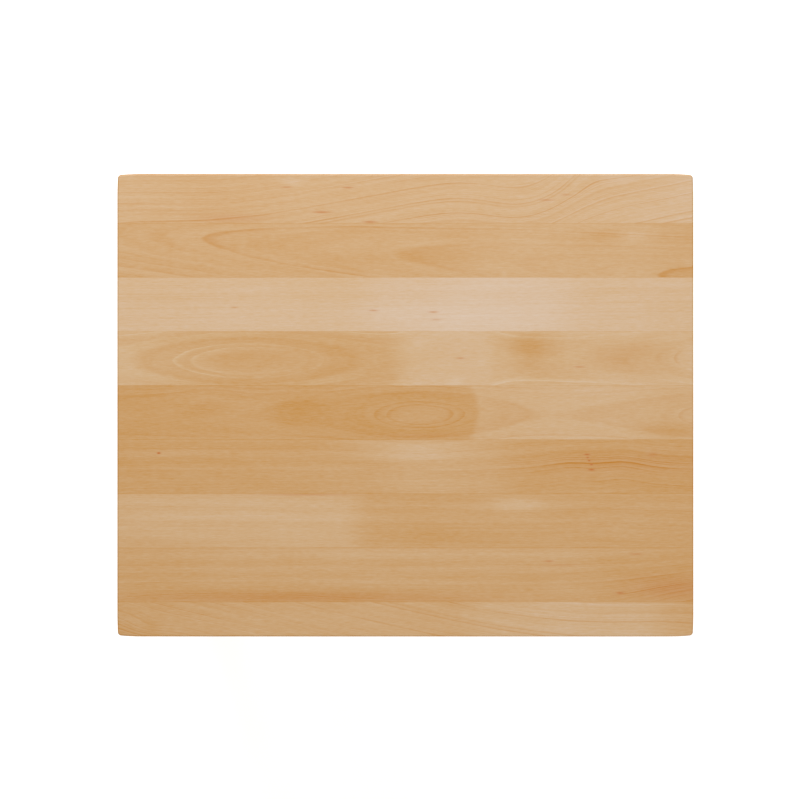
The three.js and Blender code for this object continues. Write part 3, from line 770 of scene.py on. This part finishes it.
def zinc(name, turned_on):
    """Plated steel with a spangled, slightly uneven finish, rubbed bright at its edges.

    turned_on is how many lathe marks it has to a metre each way."""
    colours = bpy.context.scene.table_colours
    material, tree, shader = new_material(name)
    seen = tree.add("ShaderNodeTexCoord").outputs
    spangle = tree.noise(seen["Object"], (700.0, 700.0, 700.0), detail=2.0)
    lathe = tree.noise(seen["Object"], turned_on, detail=1.0)
    scuffs = use_group(tree, "Scuffs", {"Position": seen["Object"]})["Mask"]
    wear_and_shade = use_group(tree, "Edge Wear And Painted Shade", {"Normal": seen["Normal"], "Position": seen["Object"]})
    bright = tree.total(tree.weigh((spangle, 0.25), (wear_and_shade["Edge"], 0.35)), 0.4)
    dull = [0.7 * c for c in colours.zinc]
    shade_of = tree.mix(tree.clamp(bright), solid(dull), solid(colours.zinc))
    tree.feed(shader["Base Color"], shade_of)
    shader["Metallic"].default_value = 1.0
    uneven = tree.weigh((spangle, 0.3), (scuffs, 0.8))
    tree.feed(shader["Roughness"], tree.ease(uneven, -0.3, 0.9, 0.28, 0.5))
    roughen(tree, shader, lathe, strength=0.25, depth=0.03 * MM)
    return material


def nylon():
    """Moulded black nylon with a fine eroded texture, dusty at its scuffed edges."""
    colours = bpy.context.scene.table_colours
    material, tree, shader = new_material("nylon_pads")
    seen = tree.add("ShaderNodeTexCoord").outputs
    pebble = tree.noise(seen["Object"], (2600.0, 2600.0, 2600.0), detail=2.0)
    scuffs = use_group(tree, "Scuffs", {"Position": seen["Object"]})["Mask"]
    wear_and_shade = use_group(tree, "Edge Wear And Painted Shade", {"Normal": seen["Normal"], "Position": seen["Object"]})
    dust = tree.weigh((scuffs, 0.4), (wear_and_shade["Edge"], 0.25), (pebble, 0.12))
    dusty = [c + 0.09 for c in colours.nylon]
    shade_of = tree.mix(tree.clamp(dust), solid(colours.nylon), solid(dusty))
    tree.feed(shader["Base Color"], shade_of)
    tree.feed(shader["Roughness"], tree.ease(dust, -0.1, 0.6, 0.42, 0.66))
    roughen(tree, shader, pebble, strength=0.3, depth=0.05 * MM)
    return material


# ---- Modelling by hand --------------------------------------------------------------------


def near(a, b):
    return abs(a - b) < NEAR


def edit():
    bpy.ops.object.mode_set(mode="EDIT")


def leave_edit():
    bpy.ops.object.mode_set(mode="OBJECT")


def select_only(piece):
    bpy.ops.object.select_all(action="DESELECT")
    piece.select_set(True)
    bpy.context.view_layer.objects.active = piece


def apply_place():
    """Puts an object's place, turn and scale into its mesh."""
    bpy.ops.object.transform_apply(location=True, rotation=True, scale=True)


def start_block(low, high):
    """A box primitive between two corners, in edit mode."""
    low, high = Vector(low), Vector(high)
    bpy.ops.object.select_all(action="DESELECT")
    bpy.ops.mesh.primitive_cube_add(size=1, location=(low + high) / 2, scale=high - low)
    apply_place()
    edit()


def pick(kind, test):
    """Selects the vertices, edges or faces that pass the test, and nothing else."""
    bpy.ops.mesh.select_mode(type=kind)
    bpy.ops.mesh.select_all(action="DESELECT")
    data = bpy.context.object.data
    shape = bmesh.from_edit_mesh(data)
    parts = {"VERT": shape.verts, "EDGE": shape.edges, "FACE": shape.faces}[kind]
    found = [part for part in parts if test(part)]
    if not found:
        raise RuntimeError(f"nothing to select on {bpy.context.object.name}")
    for part in found:
        part.select_set(True)
    bmesh.update_edit_mesh(data)


def cut_across(axis, *places):
    """Scores the whole shape with planes across an axis, at those places along it."""
    normal = Vector((0.0, 0.0, 0.0))
    normal[axis] = 1.0
    for place in places:
        bpy.ops.mesh.select_all(action="SELECT")
        bpy.ops.mesh.bisect(plane_co=normal * place, plane_no=normal)


def pull(axis, distance):
    """Extrudes what is selected along an axis."""
    reach = [0.0, 0.0, 0.0]
    reach[axis] = distance
    bpy.ops.mesh.extrude_region_move(TRANSFORM_OT_translate={"value": reach})


def middle(part):
    """The middle of an edge or a face."""
    places = [v.co for v in part.verts]
    return sum(places, Vector()) / len(places)


def round_edges(radius, segments):
    bpy.ops.mesh.bevel(offset=radius, offset_type="OFFSET", segments=segments, affect="EDGES")


def tidy_faces():
    """Takes out score lines that lie within a flat face."""
    bpy.ops.mesh.select_mode(type="VERT")
    bpy.ops.mesh.select_all(action="SELECT")
    bpy.ops.mesh.dissolve_limited(angle_limit=math.radians(0.1))


def shade(piece, angle=35):
    """Smooth over rounded edges, with the flat faces kept flat."""
    select_only(piece)
    bpy.ops.object.shade_smooth_by_angle(angle=math.radians(angle))
    weighted = piece.modifiers.new("flat_faces", "WEIGHTED_NORMAL")
    weighted.keep_sharp = True
    bpy.ops.object.modifier_apply(modifier=weighted.name)


def finish_piece(piece, name, material, node):
    """Names a piece and lets it stand for its node, on the node's body."""
    piece.name = name
    piece.data.name = name
    piece.data.materials.clear()
    piece.data.materials.append(material)
    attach(piece, frame["nodes"][node]["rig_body"])
    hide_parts(node)


def copy_of(piece, turn=0.0, about=(0.0, 0.0), shift=(0.0, 0.0, 0.0)):
    """A copy with a mesh of its own, turned about an upright line and then shifted."""
    select_only(piece)
    bpy.ops.object.duplicate(linked=False)
    other = bpy.context.object
    start = Vector((*about, 0.0))
    rotation = Euler((0.0, 0.0, turn)).to_matrix()
    other.rotation_euler = (0.0, 0.0, turn)
    other.location = start - rotation @ start + Vector(shift)
    apply_place()
    return other


def centre_of(node):
    """The middle of a node's box."""
    low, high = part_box(node)
    return (low + high) / 2


def copy_for(piece, first, node, turn=0.0):
    """A turned copy, at a node's place, of the piece that was modelled at a first node's."""
    centre = centre_of(first)
    return copy_of(piece, turn=turn, about=centre.xy, shift=centre_of(node) - centre)


def combine(piece, tool, operation):
    """Cuts a tool out of a piece or joins it on, and clears the tool away."""
    select_only(piece)
    boolean = piece.modifiers.new("combine", "BOOLEAN")
    boolean.operation = operation
    boolean.solver = "EXACT"
    boolean.object = tool
    bpy.ops.object.modifier_apply(modifier=boolean.name)
    bpy.data.objects.remove(tool)


def turned(axis, profile, sides=32, hollow=False):
    """A round solid on an upright axis, drawn up ring by ring; profile is (radius, height).

    A hollow one has no faces at its ends: its profile goes up its outside and down its bore,
    and its last ring meets its first."""
    x, y = axis
    radius, height = profile[0]
    fill, closing = ("NOTHING", profile[:1]) if hollow else ("NGON", [])
    bpy.ops.object.select_all(action="DESELECT")
    bpy.ops.mesh.primitive_circle_add(
        vertices=sides, radius=radius, fill_type=fill, location=(x, y, height)
    )
    apply_place()
    edit()
    bpy.ops.mesh.select_all(action="SELECT")
    for next_radius, next_height in profile[1:] + closing:
        pull(2, next_height - height)
        grow = next_radius / radius
        bpy.ops.transform.resize(value=(grow, grow, 1.0), center_override=(x, y, next_height))
        radius, height = next_radius, next_height
    bpy.ops.mesh.select_all(action="SELECT")
    if hollow:
        bpy.ops.mesh.remove_doubles(threshold=NEAR)
    bpy.ops.mesh.normals_make_consistent(inside=False)
    leave_edit()
    return bpy.context.object


# ---- Staves -------------------------------------------------------------------------------


def is_outline(edge, inner_sides):
    """Whether an edge runs round the top's outline, between a flat and an upright face."""
    if len(edge.link_faces) != 2:
        return False
    flat, upright = sorted(edge.link_faces, key=lambda face: -abs(face.normal.z))
    if abs(flat.normal.z) < 0.99 or abs(upright.normal.z) > 0.01:
        return False
    return not any(near(middle(upright).y, side) for side in inner_sides)


def ease_corners(sizes, half, outer):
    """Sands the outline back in a long slight curve towards the two outer corners."""
    steps = 6
    side = math.copysign(1.0, outer)
    for i in range(1, steps + 1):
        run = sizes.ease_run * i / steps
        cut_across(0, -(half - run), half - run)
        cut_across(1, outer - side * run)
    for i in range(steps):
        run = sizes.ease_run * i / steps
        share = (1 - i / steps) ** 2
        shrink = (half - sizes.end_ease * share) / half
        pick("VERT", lambda v: near(v.co.y, outer - side * run) and near(abs(v.co.x), half))
        bpy.ops.transform.resize(value=(shrink, 1.0, 1.0), center_override=(0.0, 0.0, 0.0))
        at = half * shrink if i == 0 else half - run
        pick("VERT", lambda v: near(v.co.y, outer) and near(abs(v.co.x), at))
        bpy.ops.transform.translate(value=(0.0, -side * sizes.side_ease * share, 0.0))
    corner_y = outer - side * sizes.side_ease
    pick("EDGE", lambda e: all(near(v.co.y, corner_y) for v in e.verts)
         and abs(middle(e).x) > half - 2 * sizes.end_ease)
    round_edges(sizes.corner, segments=8)


def model_stave(number, sizes):
    low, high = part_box(f"top_stave_{number}")
    start_block(low, high)
    inner_sides = [low.y, high.y]
    for outer in (low.y, high.y):
        if near(abs(outer), CAD_BOX[1].y):
            inner_sides.remove(outer)
            ease_corners(sizes, high.x, outer)
    pick("EDGE", lambda e: is_outline(e, inner_sides))
    round_edges(sizes.arris, segments=6)
    tidy_faces()
    leave_edit()
    return bpy.context.object


class TABLE_OT_staves(bpy.types.Operator):
    """Model the nine staves of the top, with their sanded outline"""

    bl_idname = "table.staves"
    bl_label = "Staves"

    def execute(self, context):
        for number in STAVES:
            node = f"top_stave_{number}"
            piece = model_stave(number, context.scene.table_sizes)
            shade(piece)
            low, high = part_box(node)
            material = wood(
                f"stave_wood_{number}",
                TOP_FIGURES[number],
                centre_of(node),
                glued_at=(high.y - low.y) / 2,
            )
            finish_piece(piece, f"stave_{number}", material, node)
        return {"FINISHED"}


# ---- Legs ----------------------------------------------------------------------------------


def model_leg(sizes):
    """The front left leg: upright outer faces, and inner faces tapered below the aprons."""
    low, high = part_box("leg_front_left")
    side = high.x - low.x
    start_block(low, high)
    pick("EDGE", lambda e: near(e.verts[0].co.x, e.verts[1].co.x)
         and near(e.verts[0].co.y, e.verts[1].co.y))
    round_edges(sizes.leg_edge, segments=4)
    cut_across(2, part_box("apron_front")[0].z - sizes.taper_drop)
    pick("VERT", lambda v: near(v.co.z, low.z))
    shrink = sizes.foot / side
    bpy.ops.transform.resize(value=(shrink, shrink, 1.0), center_override=low)
    pick("FACE", lambda f: near(middle(f).z, low.z))
    bpy.ops.mesh.region_to_loop()
    round_edges(1.2 * MM, segments=2)
    leave_edit()
    return bpy.context.object


def open_mortises(leg):
    """Cuts the two mortises, to the aprons' tenons, and the bore for the glide's insert."""
    leg_low, leg_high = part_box("leg_front_left")
    gap = Vector((JOINT_GAP, JOINT_GAP, JOINT_GAP))
    for apron, axis in (("apron_front", 0), ("apron_left", 1)):
        low, high = tenon_box(apron, axis)
        low -= gap
        high += gap
        high[axis] = leg_high[axis] + MM
        start_block(low, high)
        leave_edit()
        combine(leg, bpy.context.object, "DIFFERENCE")
    insert_radius = INSERT_BODY_RADIUS + JOINT_GAP
    insert_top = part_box("glide_insert_front_left")[1].z + JOINT_GAP
    stem_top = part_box("glide_stem_front_left")[1].z
    drill = turned(centre_of("glide_insert_front_left").xy, [
        (insert_radius, leg_low.z - MM), (insert_radius, insert_top),
        (STEM_BORE_RADIUS, insert_top), (STEM_BORE_RADIUS, stem_top + 2 * MM),
    ], sides=24)
    combine(leg, drill, "DIFFERENCE")


class TABLE_OT_legs(bpy.types.Operator):
    """Model the four tapered legs"""

    bl_idname = "table.legs"
    bl_label = "Legs"

    def execute(self, context):
        first = model_leg(context.scene.table_sizes)
        open_mortises(first)
        shade(first)
        for corner, turn in CORNER_TURNS.items():
            node = f"leg_{corner}"
            leg = copy_for(first, "leg_front_left", node, turn)
            material = wood(
                f"leg_wood_{corner}",
                BASE_FIGURES[node],
                centre_of(node),
                turn=(0.0, math.pi / 2, 0.0),
            )
            finish_piece(leg, f"tapered_leg_{corner}", material, node)
        bpy.data.objects.remove(first)
        return {"FINISHED"}


# ---- Aprons --------------------------------------------------------------------------------


def tenon_box(apron, axis):
    """The corners of an apron's whole tenoned length: its tenons run through its middle."""
    low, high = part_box(apron)
    low, high = low.copy(), high.copy()
    across = 1 - axis
    centre = (low[across] + high[across]) / 2
    low[across] = centre - TENON_THICKNESS / 2
    high[across] = centre + TENON_THICKNESS / 2
    high.z -= TENON_SHOULDER
    low.z = high.z - TENON_HEIGHT
    return low, high


def model_apron(node, axis, sizes):
    """An apron between its legs, with a tenon drawn out of each end and its button slots."""
    low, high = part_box(node)
    tenon_low, tenon_high = tenon_box(node, axis)
    across = 1 - axis
    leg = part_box("leg_front_left")[1][axis]
    body_low, body_high = low.copy(), high.copy()
    body_low[axis], body_high[axis] = leg, -leg
    start_block(body_low, body_high)
    pick("EDGE", lambda e: near(middle(e).z, low.z) and not near(abs(middle(e)[axis]), abs(leg)))
    round_edges(sizes.apron_edge, segments=3)
    cut_across(across, tenon_low[across], tenon_high[across])
    cut_across(2, tenon_low.z, tenon_high.z)
    for end, tip in ((leg, low[axis]), (-leg, high[axis])):
        pick("FACE", lambda f: near(middle(f)[axis], end)
             and tenon_low.z < middle(f).z < tenon_high.z
             and tenon_low[across] < middle(f)[across] < tenon_high[across])
        pull(axis, tip - end)
    open_slots(axis, body_low, body_high, sizes)
    tidy_faces()
    leave_edit()
    return bpy.context.object


def open_slots(axis, low, high, sizes):
    """The slots in an apron's inner face that its top buttons' tongues reach into."""
    across = 1 - axis
    inward = -math.copysign(1.0, low[across])
    face = high[across] if inward > 0 else low[across]
    for place in BUTTON_TURNS:
        b_low, b_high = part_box(f"top_button_{place}")
        reaches = b_low[across] - NEAR < face < b_high[across] + NEAR
        points_across = (b_high[axis] - b_low[axis]) < (b_high[across] - b_low[across])
        if not (reaches and points_across):
            continue
        start, end = b_low[axis] - SLOT_SIDE_GAP, b_high[axis] + SLOT_SIDE_GAP
        bottom, top = b_low.z - SLOT_GAP, b_low.z + sizes.tongue_height + SLOT_GAP
        cut_across(axis, start, end)
        cut_across(2, bottom, top)
        pick("FACE", lambda f: near(middle(f)[across], face)
             and start < middle(f)[axis] < end and bottom < middle(f).z < top)
        pull(across, -inward * (sizes.tongue + SLOT_GAP))


class TABLE_OT_aprons(bpy.types.Operator):
    """Model the four aprons with their tenons and slots"""

    bl_idname = "table.aprons"
    bl_label = "Aprons"

    def execute(self, context):
        for side, axis in (("front", 0), ("back", 0), ("left", 1), ("right", 1)):
            node = f"apron_{side}"
            piece = model_apron(node, axis, context.scene.table_sizes)
            shade(piece)
            # the grain runs along the apron, and its wide face shows the figure
            turn = (math.pi / 2, 0.0, 0.0) if axis == 0 else (-math.pi / 2, -math.pi / 2, 0.0)
            material = wood(f"apron_wood_{side}", BASE_FIGURES[node], centre_of(node), turn=turn)
            finish_piece(piece, f"rail_{side}", material, node)
        return {"FINISHED"}


# ---- Screws --------------------------------------------------------------------------------


def model_screw(length_in):
    """A countersunk wood screw with a cross recess, pointing up from its head at the origin."""
    radius, shank, pitch = SCREW_HEAD_RADIUS, SCREW_RADIUS, SCREW_PITCH
    root = 0.72 * shank
    height = 0.3 * length_in
    profile = [
        (0.96 * radius, 0.0), (radius, 0.2 * SCREW_RIM), (radius, SCREW_RIM),
        (shank, SCREW_HEAD_HEIGHT), (shank, height),
    ]
    while height + 2 * pitch < length_in - SCREW_POINT:
        profile += [
            (root, height + 0.3 * pitch), (root, height + 0.7 * pitch),
            (shank, height + 0.9 * pitch), (shank, height + pitch),
        ]
        height += pitch
    profile += [(root, length_in - SCREW_POINT), (0.05 * MM, length_in)]
    screw = turned((0.0, 0.0), profile, sides=20)
    arm, half_width, recess = 0.58 * radius, 0.13 * radius, 1.6 * MM
    for turn in (0.0, math.pi / 2):
        start_block((-arm, -half_width, -MM), (arm, half_width, recess))
        pick("FACE", lambda f: f.normal.z > 0.9)
        bpy.ops.transform.resize(value=(0.35, 0.6, 1.0), center_override=(0.0, 0.0, 0.0))
        leave_edit()
        blade = bpy.context.object
        blade.rotation_euler.z = turn
        apply_place()
        combine(screw, blade, "DIFFERENCE")
    shade(screw, angle=40)
    return screw


def point(piece, head, direction):
    """Turns a piece that points up from the origin along a direction, from a new place."""
    select_only(piece)
    piece.rotation_mode = "QUATERNION"
    piece.rotation_quaternion = Vector((0.0, 0.0, 1.0)).rotation_difference(Vector(direction))
    piece.location = head
    apply_place()


def place_screw(screw, head, direction, name, node, material):
    """A copy of a screw with its head's middle at a place, pointing along a direction."""
    copy = copy_of(screw)
    point(copy, head, direction)
    finish_piece(copy, name, material, node)


def countersink(piece, head, direction, length_in):
    """Drills a piece for a screw whose head's middle is at a place on its face."""
    wide, narrow = SCREW_HEAD_RADIUS + SCREW_GAP, SCREW_RADIUS + SCREW_GAP
    drill = turned((0.0, 0.0), [
        (wide, -MM), (wide, SCREW_RIM), (narrow, SCREW_HEAD_HEIGHT), (narrow, length_in + MM),
    ], sides=24)
    point(drill, head, direction)
    combine(piece, drill, "DIFFERENCE")


# ---- Corner blocks ---------------------------------------------------------------------------


def model_block(sizes):
    """The front left block: a board set across the corner, its ends mitred to the aprons."""
    low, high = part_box("corner_block_front_left")
    half = BLOCK_THICKNESS / 2
    slab = (high.x - low.x) * math.sqrt(2)
    start_block((-slab, -half, low.z), (slab, half, high.z))
    leave_edit()
    board = bpy.context.object
    # its far face passes through (high.x, low.y) and (low.x, high.y)
    far = (high.x + low.y) / math.sqrt(2)
    lean = (far - half) / math.sqrt(2)
    board.rotation_euler.z = -math.pi / 4
    board.location = (lean, lean, 0.0)
    apply_place()
    edit()
    for normal in ((-1.0, 0.0, 0.0), (0.0, -1.0, 0.0)):
        bpy.ops.mesh.select_all(action="SELECT")
        bpy.ops.mesh.bisect(plane_co=low, plane_no=normal, use_fill=True, clear_outer=True)
    bpy.ops.mesh.select_mode(type="EDGE")
    bpy.ops.mesh.select_all(action="SELECT")
    round_edges(sizes.fixing_edge, segments=2)
    leave_edit()
    return board


def mirrored(place, signs):
    """A place or direction at the front left corner, as it is at another corner."""
    return Vector((-signs[0] * place.x, -signs[1] * place.y, place.z))


class TABLE_OT_corner_blocks(bpy.types.Operator):
    """Model the four corner blocks and the two screws in each"""

    bl_idname = "table.corner_blocks"
    bl_label = "Corner Blocks"

    def execute(self, context):
        steel = zinc("zinc_block_screws", (900.0, 900.0, 900.0))
        block = model_block(context.scene.table_sizes)
        screw = model_screw(BLOCK_SCREW_LENGTH)
        inward = Vector((math.sqrt(0.5), math.sqrt(0.5), 0.0))
        heads = {}
        for kind in ("long", "short"):
            node = f"block_screw_front_left_{kind}"
            # the tip is the low corner, and the head's middle lies a screw's length back
            low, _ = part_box(node)
            tip = Vector((low.x, low.y, centre_of(node).z))
            heads[kind] = tip + inward * BLOCK_SCREW_LENGTH
            countersink(block, heads[kind], -inward, BLOCK_SCREW_LENGTH)
        shade(block)
        for corner, signs in CORNERS.items():
            node = f"corner_block_{corner}"
            piece = copy_for(block, "corner_block_front_left", node, CORNER_TURNS[corner])
            material = wood(
                f"block_wood_{corner}",
                BASE_FIGURES["corner_block"],
                centre_of(node),
                turn=(0.0, 0.0, signs[0] * signs[1] * math.pi / 4),
                varnished=False,
            )
            finish_piece(piece, f"brace_{corner}", material, node)
            for kind, head in heads.items():
                node = f"block_screw_{corner}_{kind}"
                name = f"brace_screw_{corner}_{kind}"
                way = mirrored(-inward, signs)
                place_screw(screw, mirrored(head, signs), way, name, node, steel)
        bpy.data.objects.remove(block)
        bpy.data.objects.remove(screw)
        return {"FINISHED"}


# ---- Top buttons -------------------------------------------------------------------------------


def model_button(sizes):
    """The front left button: a block that the top is screwed to, its tongue in the apron."""
    low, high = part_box("top_button_front_left")
    heel = low.y + sizes.tongue + SLOT_GAP
    start_block((low.x, heel, low.z), high)
    cut_across(2, low.z + sizes.tongue_height)
    pick("FACE", lambda f: near(middle(f).y, heel) and middle(f).z < low.z + sizes.tongue_height)
    pull(1, low.y - heel)
    tidy_faces()
    pick("EDGE", lambda e: e.calc_face_angle_signed() > 0.5)
    round_edges(sizes.fixing_edge, segments=2)
    leave_edit()
    return bpy.context.object


def foot_of(node):
    """The middle of the underside of a node's box."""
    centre = centre_of(node)
    return Vector((centre.x, centre.y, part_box(node)[0].z))


class TABLE_OT_top_buttons(bpy.types.Operator):
    """Model the six wooden buttons that hold the top, and their screws"""

    bl_idname = "table.top_buttons"
    bl_label = "Top Buttons"

    def execute(self, context):
        steel = zinc("zinc_button_screws", (900.0, 900.0, 900.0))
        button = model_button(context.scene.table_sizes)
        low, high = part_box("top_button_screw_front_left")
        length_in = high.z - low.z
        screw = model_screw(length_in)
        up = Vector((0.0, 0.0, 1.0))
        countersink(button, foot_of("top_button_screw_front_left"), up, length_in)
        shade(button)
        for place, turn in BUTTON_TURNS.items():
            node = f"top_button_{place}"
            piece = copy_for(button, "top_button_front_left", node, turn)
            # the grain runs the way that the button's tongue points
            grain = 0.0 if place in ("left", "right") else math.pi / 2
            material = wood(
                f"button_wood_{place}",
                BASE_FIGURES["top_button"],
                centre_of(node),
                turn=(0.0, 0.0, grain),
                varnished=False,
            )
            finish_piece(piece, f"toggle_{place}", material, node)
            node = f"top_button_screw_{place}"
            place_screw(screw, foot_of(node), up, f"toggle_screw_{place}", node, steel)
        bpy.data.objects.remove(button)
        bpy.data.objects.remove(screw)
        return {"FINISHED"}


# ---- Levelling glides ---------------------------------------------------------------------------


def model_pad(node):
    """A domed pad, dished a little underneath, with a cup in its top for the stem's foot."""
    low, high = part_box(node)
    outer, top = (high.x - low.x) / 2, high.z
    mouth, cup, cup_top = 3.5 * MM, 5.2 * MM, high.z - 1.4 * MM
    underside = [(0.72 * outer, 0.3 * MM), (outer - 1.6 * MM, 0.0), (outer - 0.8 * MM, 0.25 * MM)]
    rim = [(outer - 0.2 * MM, 0.9 * MM), (outer, 1.7 * MM), (outer, 3.6 * MM)]
    dome = [
        (outer - 0.3 * MM, 4.1 * MM), (outer - 1.0 * MM, 4.6 * MM), (10.4 * MM, 7.0 * MM),
        (9.4 * MM, 7.7 * MM), (8.6 * MM, top),
    ]
    inside = [
        (mouth + 0.3 * MM, top), (mouth, top - 0.3 * MM), (mouth, cup_top), (cup, cup_top),
        (cup, 3.0 * MM),
    ]
    pad = turned(centre_of(node).xy, underside + rim + dome + inside, sides=72)
    shade(pad, angle=32)
    return pad


def model_stem(node, sizes):
    """A swivel foot, a neck, a chamfered hexagon and a threaded rod, in one piece."""
    low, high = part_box(node)
    x, y = centre_of(node).xy
    crest, root, pitch = STEM_CREST_RADIUS, STEM_ROOT_RADIUS, sizes.thread_pitch
    foot, foot_top, neck, chamfer = 4.6 * MM, 6.3 * MM, 3.2 * MM, 0.6 * MM
    height = HEXAGON_TOP + 0.3 * MM
    profile = [
        (foot - 0.3 * MM, low.z), (foot, low.z + 0.3 * MM), (foot, foot_top - 0.3 * MM),
        (foot - 0.3 * MM, foot_top), (neck, foot_top), (neck, height),
    ]
    while height + pitch < high.z - 2 * chamfer:
        profile += [
            (crest, height + 0.42 * pitch), (crest, height + 0.58 * pitch), (root, height + pitch),
        ]
        height += pitch
    profile += [(root, high.z - chamfer), (root - chamfer, high.z)]
    stem = turned((x, y), profile)
    bpy.ops.object.select_all(action="DESELECT")
    bpy.ops.mesh.primitive_cylinder_add(
        vertices=6,
        radius=(high.x - low.x) / 2,
        depth=HEXAGON_TOP - HEXAGON_BOTTOM,
        location=(x, y, (HEXAGON_BOTTOM + HEXAGON_TOP) / 2),
        rotation=(0.0, 0.0, math.pi / 6),
    )
    apply_place()
    edit()
    pick("EDGE", lambda e: near(e.verts[0].co.z, e.verts[1].co.z))
    round_edges(chamfer, segments=1)
    leave_edit()
    combine(stem, bpy.context.object, "UNION")
    shade(stem, angle=28)
    return stem


def model_insert(node):
    """A flanged insert: its thread and its bore follow one closed section round."""
    low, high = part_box(node)
    bore, body, edge = INSERT_BORE_RADIUS, INSERT_BODY_RADIUS, 0.4 * MM
    thread_root = body - 0.7 * MM
    flange = (high.x - low.x) / 2
    flange_top = low.z + INSERT_FLANGE
    profile = [
        (bore + edge, low.z), (flange - edge, low.z), (flange, low.z + edge),
        (flange, flange_top), (body, flange_top),
    ]
    step = (high.z - flange_top - MM) / INSERT_RIDGES
    for i in range(INSERT_RIDGES):
        start = flange_top + i * step
        profile += [
            (thread_root, start + 0.3 * step), (thread_root, start + 0.7 * step),
            (body, start + step),
        ]
    profile += [(body - 0.5 * MM, high.z), (bore, high.z), (bore, low.z + edge)]
    insert = turned(centre_of(node).xy, profile, hollow=True)
    shade(insert, angle=32)
    return insert


class TABLE_OT_glides(bpy.types.Operator):
    """Model the four levelling glides: insert, threaded stem and swivelling pad"""

    bl_idname = "table.glides"
    bl_label = "Glides"

    def execute(self, context):
        steel = zinc("zinc_glides", (300.0, 300.0, 2500.0))
        black = nylon()
        pad = model_pad("glide_pad_front_left")
        stem = model_stem("glide_stem_front_left", context.scene.table_sizes)
        insert = model_insert("glide_insert_front_left")
        parts = {
            "pad": (pad, black, "pad_plastic", "foot_pad"),
            "stem": (stem, steel, "glide_steel", "threaded_stem"),
            "insert": (insert, steel, "glide_steel", "leg_insert"),
        }
        for part, (model, material, slot, name) in parts.items():
            for corner in CORNERS:
                node = f"glide_{part}_{corner}"
                piece = copy_for(model, f"glide_{part}_front_left", node)
                finish_piece(piece, f"{name}_{corner}", material, node)
            bpy.data.objects.remove(model)
        return {"FINISHED"}


# ---- Stage ------------------------------------------------------------------------------------


def pale_floor():
    """A plain pale floor that glows a little, so that open floor stays clean."""
    colours = bpy.context.scene.table_colours
    material, tree, shader = new_material("pale_floor")
    seen = tree.add("ShaderNodeTexCoord").outputs
    mottle = tree.noise(seen["Object"], (6.0, 6.0, 6.0), detail=3.0)
    duller = [0.97 * c for c in colours.floor]
    shade_of = tree.mix(tree.ease(mottle, -0.6, 0.6), solid(duller), solid(colours.floor))
    tree.feed(shader["Base Color"], shade_of)
    shader["Roughness"].default_value = 0.9
    shader["Emission Color"].default_value = solid(colours.floor)
    shader["Emission Strength"].default_value = FLOOR_GLOW
    return material


def add_softbox(name, place, target, size, power):
    """A round soft light that looks at a target."""
    light = bpy.data.lights.new(name, "AREA")
    light.shape = "DISK"
    light.size = size
    light.energy = power
    lamp = bpy.data.objects.new(name, light)
    bpy.context.scene.collection.objects.link(lamp)
    lamp.location = place
    lamp.rotation_euler = (Vector(target) - Vector(place)).to_track_quat("-Z", "Y").to_euler()


class TABLE_OT_stage(bpy.types.Operator):
    """Set up the floor, the soft studio light and the camera straight above the table"""

    bl_idname = "table.stage"
    bl_label = "Stage"

    def execute(self, context):
        scene = context.scene
        top = CAD_BOX[1].z
        bpy.ops.object.select_all(action="DESELECT")
        bpy.ops.mesh.primitive_plane_add(size=FLOOR_SIZE)
        floor = context.object
        floor.name = "studio_floor"
        floor.data.materials.append(pale_floor())
        world = bpy.data.worlds.new("studio")
        world.use_nodes = True
        sky = world.node_tree.nodes["Background"].inputs
        sky["Color"].default_value = (1.0, 1.0, 1.0, 1.0)
        sky["Strength"].default_value = WORLD_GLOW
        scene.world = world
        # behind the table, where the top's mirror image of it stays out of the camera's sight
        overhead = (-0.3, 2.4, top + 2.2)
        add_softbox("overhead_softbox", overhead, (0.0, 0.0, top), size=2.0, power=72)
        front = (0.9, -2.4, top + 1.2)
        add_softbox("front_softbox", front, (0.0, 0.0, 0.4), size=1.8, power=16)
        camera = bpy.data.cameras.new("camera")
        camera.sensor_width = CAMERA_SENSOR
        camera.lens = LENS_PER_METRE * CAMERA_HEIGHT
        camera.clip_end = 60.0
        viewer = bpy.data.objects.new("camera", camera)
        scene.collection.objects.link(viewer)
        viewer.location = (*CAMERA_PLACE, top + CAMERA_HEIGHT)
        scene.camera = viewer
        scene.view_settings.view_transform = "Standard"
        return {"FINISHED"}


# ---- Panel and registration -----------------------------------------------------------------------

PIECES = (
    TABLE_OT_staves,
    TABLE_OT_legs,
    TABLE_OT_aprons,
    TABLE_OT_corner_blocks,
    TABLE_OT_top_buttons,
    TABLE_OT_glides,
    TABLE_OT_stage,
)


class TABLE_PT_panel(bpy.types.Panel):
    bl_idname = "TABLE_PT_panel"
    bl_label = "Butcher Block Table"
    bl_space_type = "VIEW_3D"
    bl_region_type = "UI"
    bl_category = "Table"

    def draw(self, context):
        layout = self.layout
        for operator in PIECES:
            layout.operator(operator.bl_idname)
        for group in (context.scene.table_sizes, context.scene.table_colours):
            for name in group.__annotations__:
                layout.prop(group, name)


CLASSES = (TableSizes, TableColours, *PIECES, TABLE_PT_panel)


def register():
    for each in CLASSES:
        bpy.utils.register_class(each)
    bpy.types.Scene.table_sizes = bpy.props.PointerProperty(type=TableSizes)
    bpy.types.Scene.table_colours = bpy.props.PointerProperty(type=TableColours)


def unregister():
    del bpy.types.Scene.table_colours
    del bpy.types.Scene.table_sizes
    for each in reversed(CLASSES):
        bpy.utils.unregister_class(each)


def main():
    register()
    build_groups()
    bpy.ops.table.staves()
    bpy.ops.table.legs()
    bpy.ops.table.aprons()
    bpy.ops.table.corner_blocks()
    bpy.ops.table.top_buttons()
    bpy.ops.table.glides()
    bpy.ops.table.stage()


if __name__ == "__main__":
    main()
